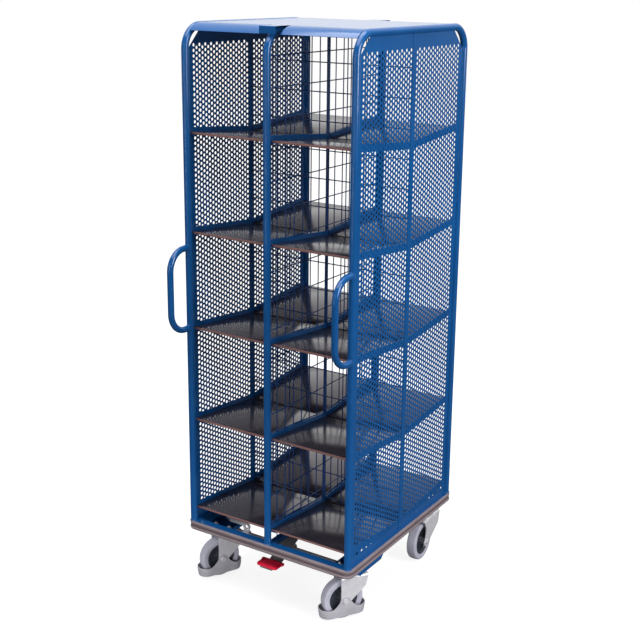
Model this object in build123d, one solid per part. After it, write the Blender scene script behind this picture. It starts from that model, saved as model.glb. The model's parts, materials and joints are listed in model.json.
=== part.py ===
from build123d import *
import math
import os

# A two-sided file trolley. Millimetres and degrees.
# X runs across the width, -Y to the front, Z up from the floor.

# Tube frame
FRAME_WIDTH = 656.0          # axis to axis of the two side tubes
FRAME_DEPTH = 717.0          # axis to axis of the front and rear uprights
FRAME_TOP = 2018.0           # top of the side tubes above the floor
TUBE_DIAMETER = 25.0
TUBE_WALL = 2.0
TUBE_BEND = 77.0             # bend radius at the tube's axis

# Base ring and bumper
BASE_TOP = 250.0
RAIL_HEIGHT = 33.0
RAIL_FLANGE = 29.0
RAIL_THICKNESS = 3.0
BASE_CORNER = 24.0
INNER_RAIL_WIDTH = 20.0
INNER_RAIL_HEIGHT = 20.0
BUMPER_THICKNESS = 7.0
BUMPER_HEIGHT = 31.0
BUMPER_GROOVE_DEPTH = 1.6
BUMPER_GROOVE_HEIGHT = 7.0

# Side panels and roof
PANEL_THICKNESS = 1.5
PANEL_OPENING_COLUMNS = 5    # on each side of the panel's upright bar
PANEL_OPEN_SHARE = 0.35      # of the sheet's area
PANEL_BAR_WIDTH = 25.0
PANEL_BAR_THICKNESS = 1.0
ROOF_THICKNESS = 1.5
ROOF_SETDOWN = 1.5           # from the top of the side tubes down to the roof's top face
ROOF_LIP_ANGLE = 45.0        # how far the front and rear lips roll round
ROOF_NOTCH_WIDTH = 82.0
TONGUE_WIDTH = 62.0
TONGUE_REACH = 75.0          # from the start of the lip to the tongue's fold
TONGUE_DROP = 24.0
TONGUE_FOLD = 3.0

# Shelves
SHELF_LEVELS = 5
SHELF_PITCH = 340.0
SHELF_TILT = 5.0             # each board falls towards the middle of the depth
BOARD_THICKNESS = 8.0
BOARD_SETBACK = 2.5          # from the uprights' inner faces to the boards' outer edges
BOARD_PLAY = 0.5
BOARD_VALLEY_GAP = 12.0      # between the front and rear boards, where the cross mesh stands
ANGLE_THICKNESS = 2.5
ANGLE_LEDGE = 20.0
ANGLE_LIP = 15.0             # how far an angle's upright leg shows above the board
ANGLE_VALLEY_GAP = 10.0
SHELF_CLEARANCE = 9.5        # under the lowest angles

# Wire mesh dividers
WIRE_DIAMETER = 4.0
WIRE_SIDES = 8
MESH_ROW_PITCH = 100.0
DEPTH_MESH_FIRST_ROW = 77.0  # above the inner rails
CROSS_MESH_FIRST_ROW = 37.0
DEPTH_WIRE_PITCH = 50.0
CROSS_WIRE_PITCH = 77.5
MESH_MARGIN = 20.0           # least room between a wire and the frame beside it
POST_DIAMETER = 12.0

# Push handles
HANDLE_DIAMETER = 22.0
HANDLE_REACH = 100.0         # upright axis to grip axis
HANDLE_SPAN = 286.0          # leg axis to leg axis
HANDLE_BEND = 70.0
HANDLE_HEIGHT = 1124.0

# Casters
WHEEL_DIAMETER = 150.0
TYRE_WIDTH = 37.0
TYRE_SHOULDER = 5.0
HUB_DIAMETER = 106.0
HUB_WEB = 16.0
HUB_RIM_WIDTH = 31.0
HUB_RIM_DEPTH = 7.0
HUB_DRAFT = 3.0              # how much the rim and the boss spread towards the web
HUB_BOSS_DIAMETER = 34.0
AXLE_DIAMETER = 10.0
AXLE_HEAD_WIDTH = 17.0
AXLE_HEAD_HEIGHT = 6.0
RUNNING_FIT = 0.05           # radial play of a turning or sliding fit
SIDE_PLAY = 0.5              # between the hub's boss and a fork leg
FACE_PLAY = 0.3              # between faces that turn past each other
CASTER_TRAIL = 41.0
SWIVEL_SIDE_INSET = 70.0     # from the base's side to a swivel axis
SWIVEL_FRONT_INSET = 142.0   # from the base's front to the front swivel axes
SWIVEL_REAR_INSET = 73.0
CASTER_HEIGHT = 190.0        # floor to the top of the caster's plate
PLATE_LENGTH = 105.0
PLATE_WIDTH = 85.0
PLATE_THICKNESS = 4.0
HOUSING_DIAMETER = 68.0
HOUSING_WALL = 8.0
HOUSING_FLOOR = 2.7
KING_PIN_DIAMETER = 24.0
KING_NUT_DIAMETER = 36.0
KING_NUT_HEIGHT = 4.0
CROWN_TOP = 164.0
CROWN_THICKNESS = 4.0
CROWN_DIAMETER = 76.0
FORK_GAP = 58.0
FORK_THICKNESS = 3.5
FORK_BOSS_RADIUS = 18.0
FRONT_FORK_NOSE = 16.0       # axle to the crown's front edge
FRONT_FORK_REAR = 46.0       # swivel axis to the crown's rear edge
FRONT_FORK_HEEL_IN = 9.0     # from the crown's rear edge in to the leg's heel
FRONT_FORK_HEEL_Z = 122.0
FRONT_FORK_HOLLOW = 0.0      # depth of the hollow in the leg's front edge
REAR_FORK_NOSE = 22.0
REAR_FORK_REAR = 76.0
REAR_FORK_HEEL_IN = 13.5
REAR_FORK_HEEL_Z = 112.0
REAR_FORK_HOLLOW = 17.0
FORK_HEEL_ROUND = 12.0
GUARD_LENGTH = 174.0
GUARD_THICKNESS = 2.5
GUARD_LOW = 14.0
GUARD_HIGH = 48.0
GUARD_TUCK = 5.0             # how far its lower edge is drawn in
GUARD_EAR_HALF = 56.0
GUARD_EAR_HOLLOW = 9.0
FRONT_LEFT_HEADING = -26.5   # turn of the trailing wheel from straight ahead
FRONT_RIGHT_HEADING = -33.0
REAR_HEADING = 3.0

# Caster brackets
BRACKET_THICKNESS = 4.0
FRONT_BRACKET_INSET = 8.0    # from the base's side to a front bracket's outer wall
REAR_BRACKET_INSET = 22.0
BRACKET_WIDTH = 110.0        # of a front bracket; a rear one has the same inner edge
BRACKET_BEYOND = 53.0        # swivel axis to the bracket's end lip
BRACKET_REACH = 124.0        # swivel axis to the bracket's inner end
BRACKET_BEVEL = 35.0
FRONT_BRACKET_NOSE = 24.0    # how far the wall runs on past the end lip, higher up
REAR_BRACKET_NOSE = 10.0
BRACKET_LIP = 12.0

# Central brake
SHAFT_DIAMETER = 12.0
SHAFT_HEADROOM = 1.0         # between the shaft and the caster's plate
SHAFT_END = 4.0              # how far the shaft shows outside the housings
PEDAL_TURN = 20.0
CAM_LENGTH = 18.0
CAM_THICKNESS = 6.0
CAM_WIDTH = 14.0
PLUNGER_DIAMETER = 10.0
PLUNGER_HEAD_DIAMETER = 40.0
PLUNGER_HEAD_HEIGHT = 2.5
COLLAR_DIAMETER = 24.0
COLLAR_LENGTH = 24.0
COLLAR_GAP = 22.5            # between the collar and the left bracket
LEVER_THICKNESS = 6.0
LEVER_EYE_DIAMETER = 30.0
LEVER_EYE_BORE = 14.0
LEVER_EYE_RISE = 26.0        # shaft to the eye's middle
LEVER_ARM_HEIGHT = 14.0
LEVER_ARM_RISE = 34.0        # shaft to the arm's middle
LEVER_ARM_SHORT = 12.0       # from the swivel axis to the arm's end
PEDAL_WIDTH = 50.0
PEDAL_THICKNESS = 5.0
PEDAL_HUB_DIAMETER = 32.0
PEDAL_HEEL = 24.0            # how far the arm runs behind the shaft
PEDAL_RISE = 28.0            # height of its heel above the shaft
PEDAL_REACH = 142.0          # shaft to the arm's front end
PEDAL_FALL = 21.0            # depth of the tread below the shaft
PAD_LENGTH = 50.0
PAD_WIDTH = 84.0
PAD_THICKNESS = 10.0
PAD_CORNER = 10.0
PAD_TAB_WIDTH = 92.0
PAD_TAB_LENGTH = 13.0
PAD_TAB_CORNER = 4.0

# Worked-out places
TUBE_RADIUS = TUBE_DIAMETER / 2
SIDE_X = FRAME_WIDTH / 2
UPRIGHT_Y = FRAME_DEPTH / 2
UPRIGHT_INNER_Y = UPRIGHT_Y - TUBE_RADIUS
BASE_HALF_X = SIDE_X + TUBE_RADIUS
BASE_HALF_Y = UPRIGHT_Y + TUBE_RADIUS
BASE_BOTTOM = BASE_TOP - RAIL_HEIGHT
FLANGE_UNDER = BASE_TOP - RAIL_THICKNESS
BEND_Y = UPRIGHT_Y - TUBE_BEND
BEND_Z = FRAME_TOP - TUBE_RADIUS - TUBE_BEND
ROOF_TOP = FRAME_TOP - ROOF_SETDOWN
ROOF_UNDER = ROOF_TOP - ROOF_THICKNESS
MIDDLE_AXIS_Z = ROOF_UNDER - TUBE_RADIUS
PANEL_INNER_X = SIDE_X - PANEL_THICKNESS / 2
SHELF_SLOPE = math.tan(math.radians(SHELF_TILT))
BOARD_EDGE_Y = UPRIGHT_INNER_Y - BOARD_SETBACK
BOARD_VALLEY_Y = BOARD_VALLEY_GAP / 2
FIRST_SHELF = (BASE_TOP + SHELF_CLEARANCE + ANGLE_THICKNESS + BOARD_THICKNESS
               + BOARD_EDGE_Y * SHELF_SLOPE)
MIDDLE_LEG_X = WIRE_DIAMETER
AXLE_Z = WHEEL_DIAMETER / 2
FORK_OUTER_X = FORK_GAP / 2 + FORK_THICKNESS
CROWN_UNDER = CROWN_TOP - CROWN_THICKNESS
HOUSING_BOTTOM = CROWN_TOP + FACE_PLAY
PLATE_UNDER = CASTER_HEIGHT - PLATE_THICKNESS
KING_PIN_BOTTOM = CROWN_UNDER - FACE_PLAY - KING_NUT_HEIGHT
SWIVEL_X = BASE_HALF_X - SWIVEL_SIDE_INSET
FRONT_SWIVEL_Y = SWIVEL_FRONT_INSET - BASE_HALF_Y
REAR_SWIVEL_Y = BASE_HALF_Y - SWIVEL_REAR_INSET
BRACKET_INNER_X = BASE_HALF_X - FRONT_BRACKET_INSET - BRACKET_WIDTH
SHAFT_RADIUS = SHAFT_DIAMETER / 2
SHAFT_Z = PLATE_UNDER - SHAFT_HEADROOM - SHAFT_RADIUS
PLUNGER_TOP = SHAFT_Z - SHAFT_RADIUS - FACE_PLAY
CAM_LOW = (SHAFT_Z - CAM_LENGTH * math.sin(math.radians(PEDAL_TURN))
           - CAM_THICKNESS / 2 * math.cos(math.radians(PEDAL_TURN)))
PLUNGER_TRAVEL = PLUNGER_TOP - (CAM_LOW - FACE_PLAY)
TREAD_BESIDE = CASTER_TRAIL - PLUNGER_DIAMETER / 2
TREAD_Z = AXLE_Z + math.sqrt(AXLE_Z ** 2 - TREAD_BESIDE ** 2)
PLUNGER_BOTTOM = TREAD_Z + FACE_PLAY + PLUNGER_TRAVEL
FRONT_END = UPRIGHT_Y + HANDLE_REACH + HANDLE_DIAMETER / 2
REAR_END = BASE_HALF_Y + BUMPER_THICKNESS
CENTRE_SHIFT = (FRONT_END - REAR_END) / 2    # puts the origin under the middle of the whole depth

nodes = {}


def box(x_span, y_span, z_span):
    """A block between two values on each axis."""
    middle = [(low + high) / 2 for low, high in (x_span, y_span, z_span)]
    lengths = [abs(high - low) for low, high in (x_span, y_span, z_span)]
    return Pos(*middle) * Box(*lengths)


def bar(start, end, diameter):
    """A round bar from one point to another."""
    line = Vector(*end) - Vector(*start)
    return Solid.make_cylinder(diameter / 2, line.length, Plane(start, z_dir=line))


def wire(start, end):
    """A mesh wire from one point to another, its flat sides square to the axes."""
    line = Vector(*end) - Vector(*start)
    half_side = 180 / WIRE_SIDES
    section = RegularPolygon(WIRE_DIAMETER / 2, WIRE_SIDES, major_radius=False, rotation=half_side)
    return extrude(Plane(start, z_dir=line) * section, amount=line.length)


def upright_slab(outline, x_low, x_high):
    """An outline in the Y and Z directions, carried from x_low to x_high."""
    return extrude(Plane.YZ.offset(x_low) * outline, amount=x_high - x_low, dir=(1, 0, 0))


def sloped_bar(section, level, y_from, y_to):
    """A bar with plumb ends that follows the tilt of a shelf.

    Its section is in X and in height over the board."""
    start_z = FIRST_SHELF + level * SHELF_PITCH - (BOARD_EDGE_Y - abs(y_from)) * SHELF_SLOPE
    climb = (abs(y_to) - abs(y_from)) * SHELF_SLOPE
    corners = [Vector(x, y_from, start_z + height) for x, height in section]
    outline = Face(Wire.make_polygon(corners))
    return Solid.extrude(outline, Vector(0, y_to - y_from, climb))


def bent_frame(x, axis_z):
    """An inverted U of tube that stands on the base ring."""
    path = Plane.YZ.offset(x) * FilletPolyline(
        (-UPRIGHT_Y, BASE_TOP), (-UPRIGHT_Y, axis_z), (UPRIGHT_Y, axis_z), (UPRIGHT_Y, BASE_TOP),
        radius=TUBE_BEND)
    ring = Circle(TUBE_RADIUS) - Circle(TUBE_RADIUS - TUBE_WALL)
    return sweep(Plane((x, -UPRIGHT_Y, BASE_TOP)) * ring, path=path)


def side_panel(side):
    """A sheet in the plane of a side tube, its top corners cut straight across the bends.

    A grid of square openings on each side of the upright bar makes up its perforation."""
    top = FRAME_TOP - TUBE_DIAMETER
    outline = make_face(Polyline(
        (-UPRIGHT_INNER_Y, BASE_TOP), (UPRIGHT_INNER_Y, BASE_TOP), (UPRIGHT_INNER_Y, BEND_Z),
        (BEND_Y, top), (-BEND_Y, top), (-UPRIGHT_INNER_Y, BEND_Z), close=True))
    bar_edge = PANEL_BAR_WIDTH / 2
    pitch = (UPRIGHT_INNER_Y - bar_edge) / PANEL_OPENING_COLUMNS
    rows = int((BEND_Z - BASE_TOP) // pitch)
    opening = pitch * math.sqrt(PANEL_OPEN_SHARE)
    for end in (-1, 1):
        middle = Pos(end * (bar_edge + UPRIGHT_INNER_Y) / 2, BASE_TOP + rows * pitch / 2)
        grid = GridLocations(pitch, pitch, PANEL_OPENING_COLUMNS, rows)
        outline -= [middle * place * Rectangle(opening, opening) for place in grid]
    middle = side * SIDE_X
    return upright_slab(outline, middle - PANEL_THICKNESS / 2, middle + PANEL_THICKNESS / 2)


def panel_bar(side):
    """The plain flat bar up the outside of a side panel."""
    inner = side * (SIDE_X + PANEL_THICKNESS / 2)
    outer = inner + side * PANEL_BAR_THICKNESS
    half = PANEL_BAR_WIDTH / 2
    return box(sorted((inner, outer)), (-half, half), (BASE_TOP, FRAME_TOP - TUBE_DIAMETER))


def roof_sheet():
    """The roof: flat between the bends, its lips rolled round them, with a folded tongue at each end."""
    outer = ROOF_TOP - BEND_Z
    inner = outer - ROOF_THICKNESS
    start = 90 - ROOF_LIP_ANGLE
    rear_outer = CenterArc((BEND_Y, BEND_Z), outer, start, ROOF_LIP_ANGLE)
    rear_inner = CenterArc((BEND_Y, BEND_Z), inner, start, ROOF_LIP_ANGLE)
    front_outer = CenterArc((-BEND_Y, BEND_Z), outer, 90, ROOF_LIP_ANGLE)
    front_inner = CenterArc((-BEND_Y, BEND_Z), inner, 90, ROOF_LIP_ANGLE)
    outline = make_face([
        rear_outer, rear_inner, front_outer, front_inner,
        Line(rear_outer @ 0, rear_inner @ 0), Line(front_outer @ 1, front_inner @ 1),
        Line(rear_outer @ 1, front_outer @ 0), Line(rear_inner @ 1, front_inner @ 0)])
    seat = inner - TUBE_BEND
    half = SIDE_X - math.sqrt(TUBE_RADIUS ** 2 - seat ** 2)
    sheet = upright_slab(outline, -half, half)
    notch_half = ROOF_NOTCH_WIDTH / 2
    tongue_half = TONGUE_WIDTH / 2
    for end in (-1, 1):
        notch_y = sorted((end * BEND_Y, end * FRAME_DEPTH))
        sheet -= box((-notch_half, notch_half), notch_y, (BEND_Z, FRAME_TOP))
        fold_y = BEND_Y + TONGUE_REACH
        tongue = Polyline(
            (end * BEND_Y, ROOF_TOP), (end * fold_y, ROOF_TOP), (end * fold_y, ROOF_TOP - TONGUE_DROP),
            (end * (fold_y - ROOF_THICKNESS), ROOF_TOP - TONGUE_DROP),
            (end * (fold_y - ROOF_THICKNESS), ROOF_UNDER), (end * BEND_Y, ROOF_UNDER), close=True)
        tongue_face = make_face(tongue)
        corner = tongue_face.vertices().sort_by_distance((end * fold_y, ROOF_TOP))[0]
        tongue_face = fillet(corner, TONGUE_FOLD)
        sheet += upright_slab(tongue_face, -tongue_half, tongue_half)
    return sheet


def base_ring():
    """The whole base ring, an angle section with its web outside, before it is cut at the mitres."""
    outer = RectangleRounded(2 * BASE_HALF_X, 2 * BASE_HALF_Y, BASE_CORNER)
    hollow = RectangleRounded(2 * (BASE_HALF_X - RAIL_THICKNESS), 2 * (BASE_HALF_Y - RAIL_THICKNESS),
                              BASE_CORNER - RAIL_THICKNESS)
    opening = Rectangle(2 * (BASE_HALF_X - RAIL_FLANGE), 2 * (BASE_HALF_Y - RAIL_FLANGE))
    web = extrude(Pos(0, 0, BASE_BOTTOM) * (outer - hollow), amount=RAIL_HEIGHT)
    flange = extrude(Pos(0, 0, FLANGE_UNDER) * (outer - opening), amount=RAIL_THICKNESS)
    return web + flange


def mitred_rail(ring, direction):
    """One side of the base ring, cut at 45 degrees at its two corners."""
    along_x, along_y = direction
    reach = RAIL_FLANGE
    if along_y:
        near, far = along_y * BASE_HALF_Y, along_y * (BASE_HALF_Y - reach)
        wedge = Polyline((-BASE_HALF_X, near), (BASE_HALF_X, near), (BASE_HALF_X - reach, far),
                         (-BASE_HALF_X + reach, far), close=True)
    else:
        near, far = along_x * BASE_HALF_X, along_x * (BASE_HALF_X - reach)
        wedge = Polyline((near, -BASE_HALF_Y), (near, BASE_HALF_Y), (far, BASE_HALF_Y - reach),
                         (far, -BASE_HALF_Y + reach), close=True)
    cutter = extrude(Pos(0, 0, BASE_BOTTOM) * make_face(wedge), amount=RAIL_HEIGHT, dir=(0, 0, 1))
    return ring & cutter


def bumper_strip():
    """The bumper: a strip round the base ring with one groove along its middle."""
    land = (BUMPER_HEIGHT - BUMPER_GROOVE_HEIGHT) / 2
    inner = RectangleRounded(2 * BASE_HALF_X, 2 * BASE_HALF_Y, BASE_CORNER)
    strip = None
    bottom = BASE_TOP - BUMPER_HEIGHT
    for height, thickness in ((land, BUMPER_THICKNESS),
                              (BUMPER_GROOVE_HEIGHT, BUMPER_THICKNESS - BUMPER_GROOVE_DEPTH),
                              (land, BUMPER_THICKNESS)):
        outer = RectangleRounded(2 * (BASE_HALF_X + thickness), 2 * (BASE_HALF_Y + thickness),
                                 BASE_CORNER + thickness)
        ring = extrude(Pos(0, 0, bottom) * (outer - inner), amount=height)
        strip = ring if strip is None else strip + ring
        bottom += height
    return strip


def caster_bracket(side, end, swivel_y, inset, nose):
    """A folded bracket: a web over the caster, a bevelled wall up to the base ring, and lips on two edges."""
    outer_x = BASE_HALF_X - inset
    end_y = swivel_y + end * BRACKET_BEYOND
    nose_y = end_y + end * nose
    tip_y = swivel_y - end * BRACKET_REACH
    bevel_y = tip_y + end * BRACKET_BEVEL
    across = sorted((side * BRACKET_INNER_X, side * outer_x))
    along = sorted((end_y, bevel_y))
    lip_z = (CASTER_HEIGHT, CASTER_HEIGHT + BRACKET_LIP)
    web = box(across, along, (CASTER_HEIGHT, CASTER_HEIGHT + BRACKET_THICKNESS))
    wall_outline = make_face(Polyline(
        (end_y, CASTER_HEIGHT), (bevel_y, CASTER_HEIGHT), (tip_y, CASTER_HEIGHT + BRACKET_BEVEL),
        (tip_y, FLANGE_UNDER), (nose_y, FLANGE_UNDER), (nose_y, CASTER_HEIGHT + nose), close=True))
    wall_x = sorted((side * outer_x, side * (outer_x - BRACKET_THICKNESS)))
    wall = upright_slab(wall_outline, *wall_x)
    end_lip = box(across, sorted((end_y, end_y - end * BRACKET_THICKNESS)), lip_z)
    lip_x = sorted((side * BRACKET_INNER_X, side * (BRACKET_INNER_X + BRACKET_THICKNESS)))
    return web + wall + end_lip + box(lip_x, along, lip_z)


def push_handle(side):
    """A bent tube handle whose two legs are shaped to sit on a front upright."""
    x = side * SIDE_X
    low = HANDLE_HEIGHT - HANDLE_SPAN / 2
    high = HANDLE_HEIGHT + HANDLE_SPAN / 2
    grip_y = -UPRIGHT_Y - HANDLE_REACH
    path = Plane.YZ.offset(x) * FilletPolyline(
        (-UPRIGHT_Y, low), (grip_y, low), (grip_y, high), (-UPRIGHT_Y, high), radius=HANDLE_BEND)
    foot = Plane((x, -UPRIGHT_Y, low), x_dir=(1, 0, 0), z_dir=(0, -1, 0))
    section = foot * Circle(HANDLE_DIAMETER / 2)
    upright = bar((x, -UPRIGHT_Y, BASE_TOP), (x, -UPRIGHT_Y, BEND_Z), TUBE_DIAMETER)
    return sweep(section, path=path) - upright


def shelf_boards(level):
    """The four sloping boards of one level."""
    inner = MIDDLE_LEG_X + ANGLE_THICKNESS + BOARD_PLAY
    outer = PANEL_INNER_X - ANGLE_THICKNESS - BOARD_PLAY
    boards = []
    for side in (-1, 1):
        section = [(side * inner, 0), (side * outer, 0), (side * outer, -BOARD_THICKNESS),
                   (side * inner, -BOARD_THICKNESS)]
        for end in (-1, 1):
            boards.append(sloped_bar(section, level, end * BOARD_EDGE_Y, end * BOARD_VALLEY_Y))
    return boards


def shelf_angles(wall_x, side, far_y):
    """The angles along one side of the shelves, from the valley to far_y.

    The side points from the wall to the board."""
    under = -BOARD_THICKNESS - ANGLE_THICKNESS
    leg_x = wall_x + side * ANGLE_THICKNESS
    ledge_x = wall_x + side * ANGLE_LEDGE
    section = [(wall_x, ANGLE_LIP), (wall_x, under), (ledge_x, under), (ledge_x, -BOARD_THICKNESS),
               (leg_x, -BOARD_THICKNESS), (leg_x, ANGLE_LIP)]
    angles = []
    for level in range(SHELF_LEVELS):
        for end in (-1, 1):
            angles.append(sloped_bar(section, level, end * far_y, end * ANGLE_VALLEY_GAP / 2))
    return angles


def under_middle_tube(y):
    """Height of the middle tube's underside at a depth, straight or in the bend."""
    bend_z = MIDDLE_AXIS_Z - TUBE_BEND
    inner = TUBE_BEND - TUBE_RADIUS
    into_bend = max(abs(y) - BEND_Y, 0)
    return bend_z + math.sqrt(inner ** 2 - into_bend ** 2)


def row_heights(first_row, top):
    """Heights of a mesh's level wires."""
    start = FLANGE_UNDER + first_row
    count = int((top - MESH_MARGIN - start) // MESH_ROW_PITCH) + 1
    return [start + row * MESH_ROW_PITCH for row in range(count)]


def depth_mesh(end):
    """Half of the mesh along the depth, in two layers of wire.

    It goes from the center post to a middle upright."""
    wires = []
    layer = WIRE_DIAMETER / 2
    count = int((UPRIGHT_INNER_Y - MESH_MARGIN) // DEPTH_WIRE_PITCH)
    for column in range(1, count + 1):
        y = end * column * DEPTH_WIRE_PITCH
        top = under_middle_tube(abs(y) + layer)
        wires.append(wire((-layer, y, FLANGE_UNDER), (-layer, y, top)))
    for z in row_heights(DEPTH_MESH_FIRST_ROW, under_middle_tube(0)):
        wires.append(wire((layer, end * POST_DIAMETER / 2, z), (layer, end * UPRIGHT_INNER_Y, z)))
    return wires


def cross_mesh(side):
    """Half of the mesh across the width, from the center post to a side panel."""
    wires = []
    layer = WIRE_DIAMETER / 2
    count = int((PANEL_INNER_X - MESH_MARGIN) // CROSS_WIRE_PITCH)
    for column in range(1, count + 1):
        x = side * column * CROSS_WIRE_PITCH
        wires.append(wire((x, -layer, FLANGE_UNDER), (x, -layer, ROOF_UNDER)))
    for z in row_heights(CROSS_MESH_FIRST_ROW, under_middle_tube(0)):
        wires.append(wire((side * POST_DIAMETER / 2, layer, z), (side * PANEL_INNER_X, layer, z)))
    return wires


def caster_head(x, y, braked):
    """A caster's fixed top: plate, swivel housing and king pin.

    It is hollow for the brake where the caster is braked."""
    plate = box((x - PLATE_WIDTH / 2, x + PLATE_WIDTH / 2), (y - PLATE_LENGTH / 2, y + PLATE_LENGTH / 2),
                (PLATE_UNDER, CASTER_HEIGHT))
    housing = bar((x, y, HOUSING_BOTTOM), (x, y, PLATE_UNDER), HOUSING_DIAMETER)
    pin = bar((x, y, KING_PIN_BOTTOM), (x, y, HOUSING_BOTTOM), KING_PIN_DIAMETER)
    head = plate + housing + pin
    if braked:
        cavity_floor = HOUSING_BOTTOM + HOUSING_FLOOR
        head -= bar((x, y, cavity_floor), (x, y, PLATE_UNDER), HOUSING_DIAMETER - 2 * HOUSING_WALL)
        head -= bar((x, y, KING_PIN_BOTTOM), (x, y, cavity_floor), PLUNGER_DIAMETER + 2 * RUNNING_FIT)
        head -= bar((x - HOUSING_DIAMETER, y, SHAFT_Z), (x + HOUSING_DIAMETER, y, SHAFT_Z),
                    SHAFT_DIAMETER + 2 * RUNNING_FIT)
    return head


def king_nut(x, y):
    """The ring nut under a fork's crown."""
    nut = bar((x, y, KING_PIN_BOTTOM), (x, y, KING_PIN_BOTTOM + KING_NUT_HEIGHT), KING_NUT_DIAMETER)
    return nut - bar((x, y, KING_PIN_BOTTOM), (x, y, CROWN_UNDER), KING_PIN_DIAMETER)


def fork_piece(nose, crown_rear, heel_in, heel_z, hollow):
    """A pressed fork about its swivel axis, with its wheel trailing to -Y.

    Each leg runs down from the crown to a round boss at the axle, with a rounded heel behind."""
    axle_y = -CASTER_TRAIL
    nose_y = axle_y - nose
    slant = FORK_BOSS_RADIUS * math.sqrt(0.5)
    boss_front_y = max(nose_y, axle_y - FORK_BOSS_RADIUS)
    boss_front = (boss_front_y, AXLE_Z + math.sqrt(FORK_BOSS_RADIUS ** 2 - (axle_y - boss_front_y) ** 2))
    boss_rear = (axle_y + slant, AXLE_Z - slant)
    crown_front = (nose_y, CROWN_TOP)
    front_edge = SagittaArc(crown_front, boss_front, hollow) if hollow else Line(crown_front, boss_front)
    leg = make_face([
        front_edge, ThreePointArc(boss_front, (axle_y - slant, AXLE_Z - slant), boss_rear),
        Polyline(boss_rear, (crown_rear - heel_in, heel_z), (crown_rear, CROWN_TOP), crown_front)])
    heel = leg.vertices().sort_by_distance((crown_rear - heel_in, heel_z))[0]
    leg = fillet(heel, FORK_HEEL_ROUND)
    fork = upright_slab(leg, FORK_GAP / 2, FORK_OUTER_X)
    fork += upright_slab(leg, -FORK_OUTER_X, -FORK_GAP / 2)
    crown = Pos(0, (crown_rear + nose_y) / 2) * Rectangle(2 * FORK_OUTER_X, crown_rear - nose_y)
    crown += Circle(CROWN_DIAMETER / 2)
    crown -= Circle(KING_PIN_DIAMETER / 2 + RUNNING_FIT)
    fork += extrude(Pos(0, 0, CROWN_UNDER) * crown, amount=CROWN_THICKNESS)
    return fork - bar((-FORK_OUTER_X, axle_y, AXLE_Z), (FORK_OUTER_X, axle_y, AXLE_Z), AXLE_DIAMETER)


def guard_piece():
    """A toe guard: an open boat-shaped ring round the wheel, drawn in at its lower edge.

    An ear on each side goes up to the axle."""
    axle_y = -CASTER_TRAIL
    outer = FORK_OUTER_X + GUARD_THICKNESS
    height = GUARD_HIGH - GUARD_LOW
    tuck = math.degrees(math.atan2(GUARD_TUCK, height))
    hull = SlotOverall(GUARD_LENGTH, 2 * outer, rotation=90)
    hollow = SlotOverall(GUARD_LENGTH - 2 * GUARD_THICKNESS, 2 * FORK_OUTER_X, rotation=90)
    rim = Pos(0, axle_y, GUARD_HIGH)
    guard = extrude(rim * hull, amount=-height, taper=tuck)
    guard -= extrude(rim * hollow, amount=-height, taper=tuck)
    radius = FORK_BOSS_RADIUS
    slant = radius * math.sqrt(0.5)
    front, rear = (axle_y - GUARD_EAR_HALF, GUARD_HIGH), (axle_y + GUARD_EAR_HALF, GUARD_HIGH)
    front_top, rear_top = (axle_y - slant, AXLE_Z + slant), (axle_y + slant, AXLE_Z + slant)
    ear = make_face([
        Line(rear, front), SagittaArc(front, front_top, -GUARD_EAR_HOLLOW),
        ThreePointArc(front_top, (axle_y, AXLE_Z + radius), rear_top),
        SagittaArc(rear_top, rear, -GUARD_EAR_HOLLOW)])
    guard += upright_slab(ear, FORK_OUTER_X, outer) + upright_slab(ear, -outer, -FORK_OUTER_X)
    return guard - bar((-outer, axle_y, AXLE_Z), (outer, axle_y, AXLE_Z), AXLE_DIAMETER)


def axle_piece(half):
    """An axle bolt with a hexagon at each end, outside half of its clamped length."""
    axle = bar((-half, 0, 0), (half, 0, 0), AXLE_DIAMETER)
    hexagon = RegularPolygon(AXLE_HEAD_WIDTH / 2, 6, major_radius=False)
    axle += extrude(Plane.YZ.offset(half) * hexagon, amount=AXLE_HEAD_HEIGHT)
    axle += extrude(Plane.YZ.offset(-half) * hexagon, amount=-AXLE_HEAD_HEIGHT)
    return Pos(0, -CASTER_TRAIL, AXLE_Z) * axle


def turned(outline):
    """A wheel piece turned about its axle: the outline is in the axle's direction and in radius."""
    return Pos(0, -CASTER_TRAIL, AXLE_Z) * revolve(outline, Axis.X)


def tyre_piece():
    """The tyre, with bevelled shoulders."""
    half = TYRE_WIDTH / 2
    tread = WHEEL_DIAMETER / 2
    seat = HUB_DIAMETER / 2
    return turned(make_face(Polyline(
        (-half, seat), (-half, tread - TYRE_SHOULDER), (-half + TYRE_SHOULDER, tread),
        (half - TYRE_SHOULDER, tread), (half, tread - TYRE_SHOULDER), (half, seat), close=True)))


def hub_piece():
    """The wheel's dished core: a boss that runs on the axle, a web and a rim under the tyre."""
    bore = AXLE_DIAMETER / 2 + RUNNING_FIT
    boss, boss_radius = FORK_GAP / 2 - SIDE_PLAY, HUB_BOSS_DIAMETER / 2
    rim, seat = HUB_RIM_WIDTH / 2, HUB_DIAMETER / 2
    rim_radius = seat - HUB_RIM_DEPTH
    web = HUB_WEB / 2
    half = [(boss, bore), (boss, boss_radius), (web, boss_radius + HUB_DRAFT),
            (web, rim_radius - HUB_DRAFT), (rim, rim_radius), (rim, seat)]
    other = [(-x, radius) for x, radius in reversed(half)]
    return turned(make_face(Polyline(*half, *other, close=True)))


def plunger_piece(x):
    """A brake plunger: a stem down the king pin with a round head under the shaft."""
    y = FRONT_SWIVEL_Y
    head = bar((x, y, PLUNGER_TOP - PLUNGER_HEAD_HEIGHT), (x, y, PLUNGER_TOP), PLUNGER_HEAD_DIAMETER)
    return head + bar((x, y, PLUNGER_BOTTOM), (x, y, PLUNGER_TOP), PLUNGER_DIAMETER)


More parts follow.
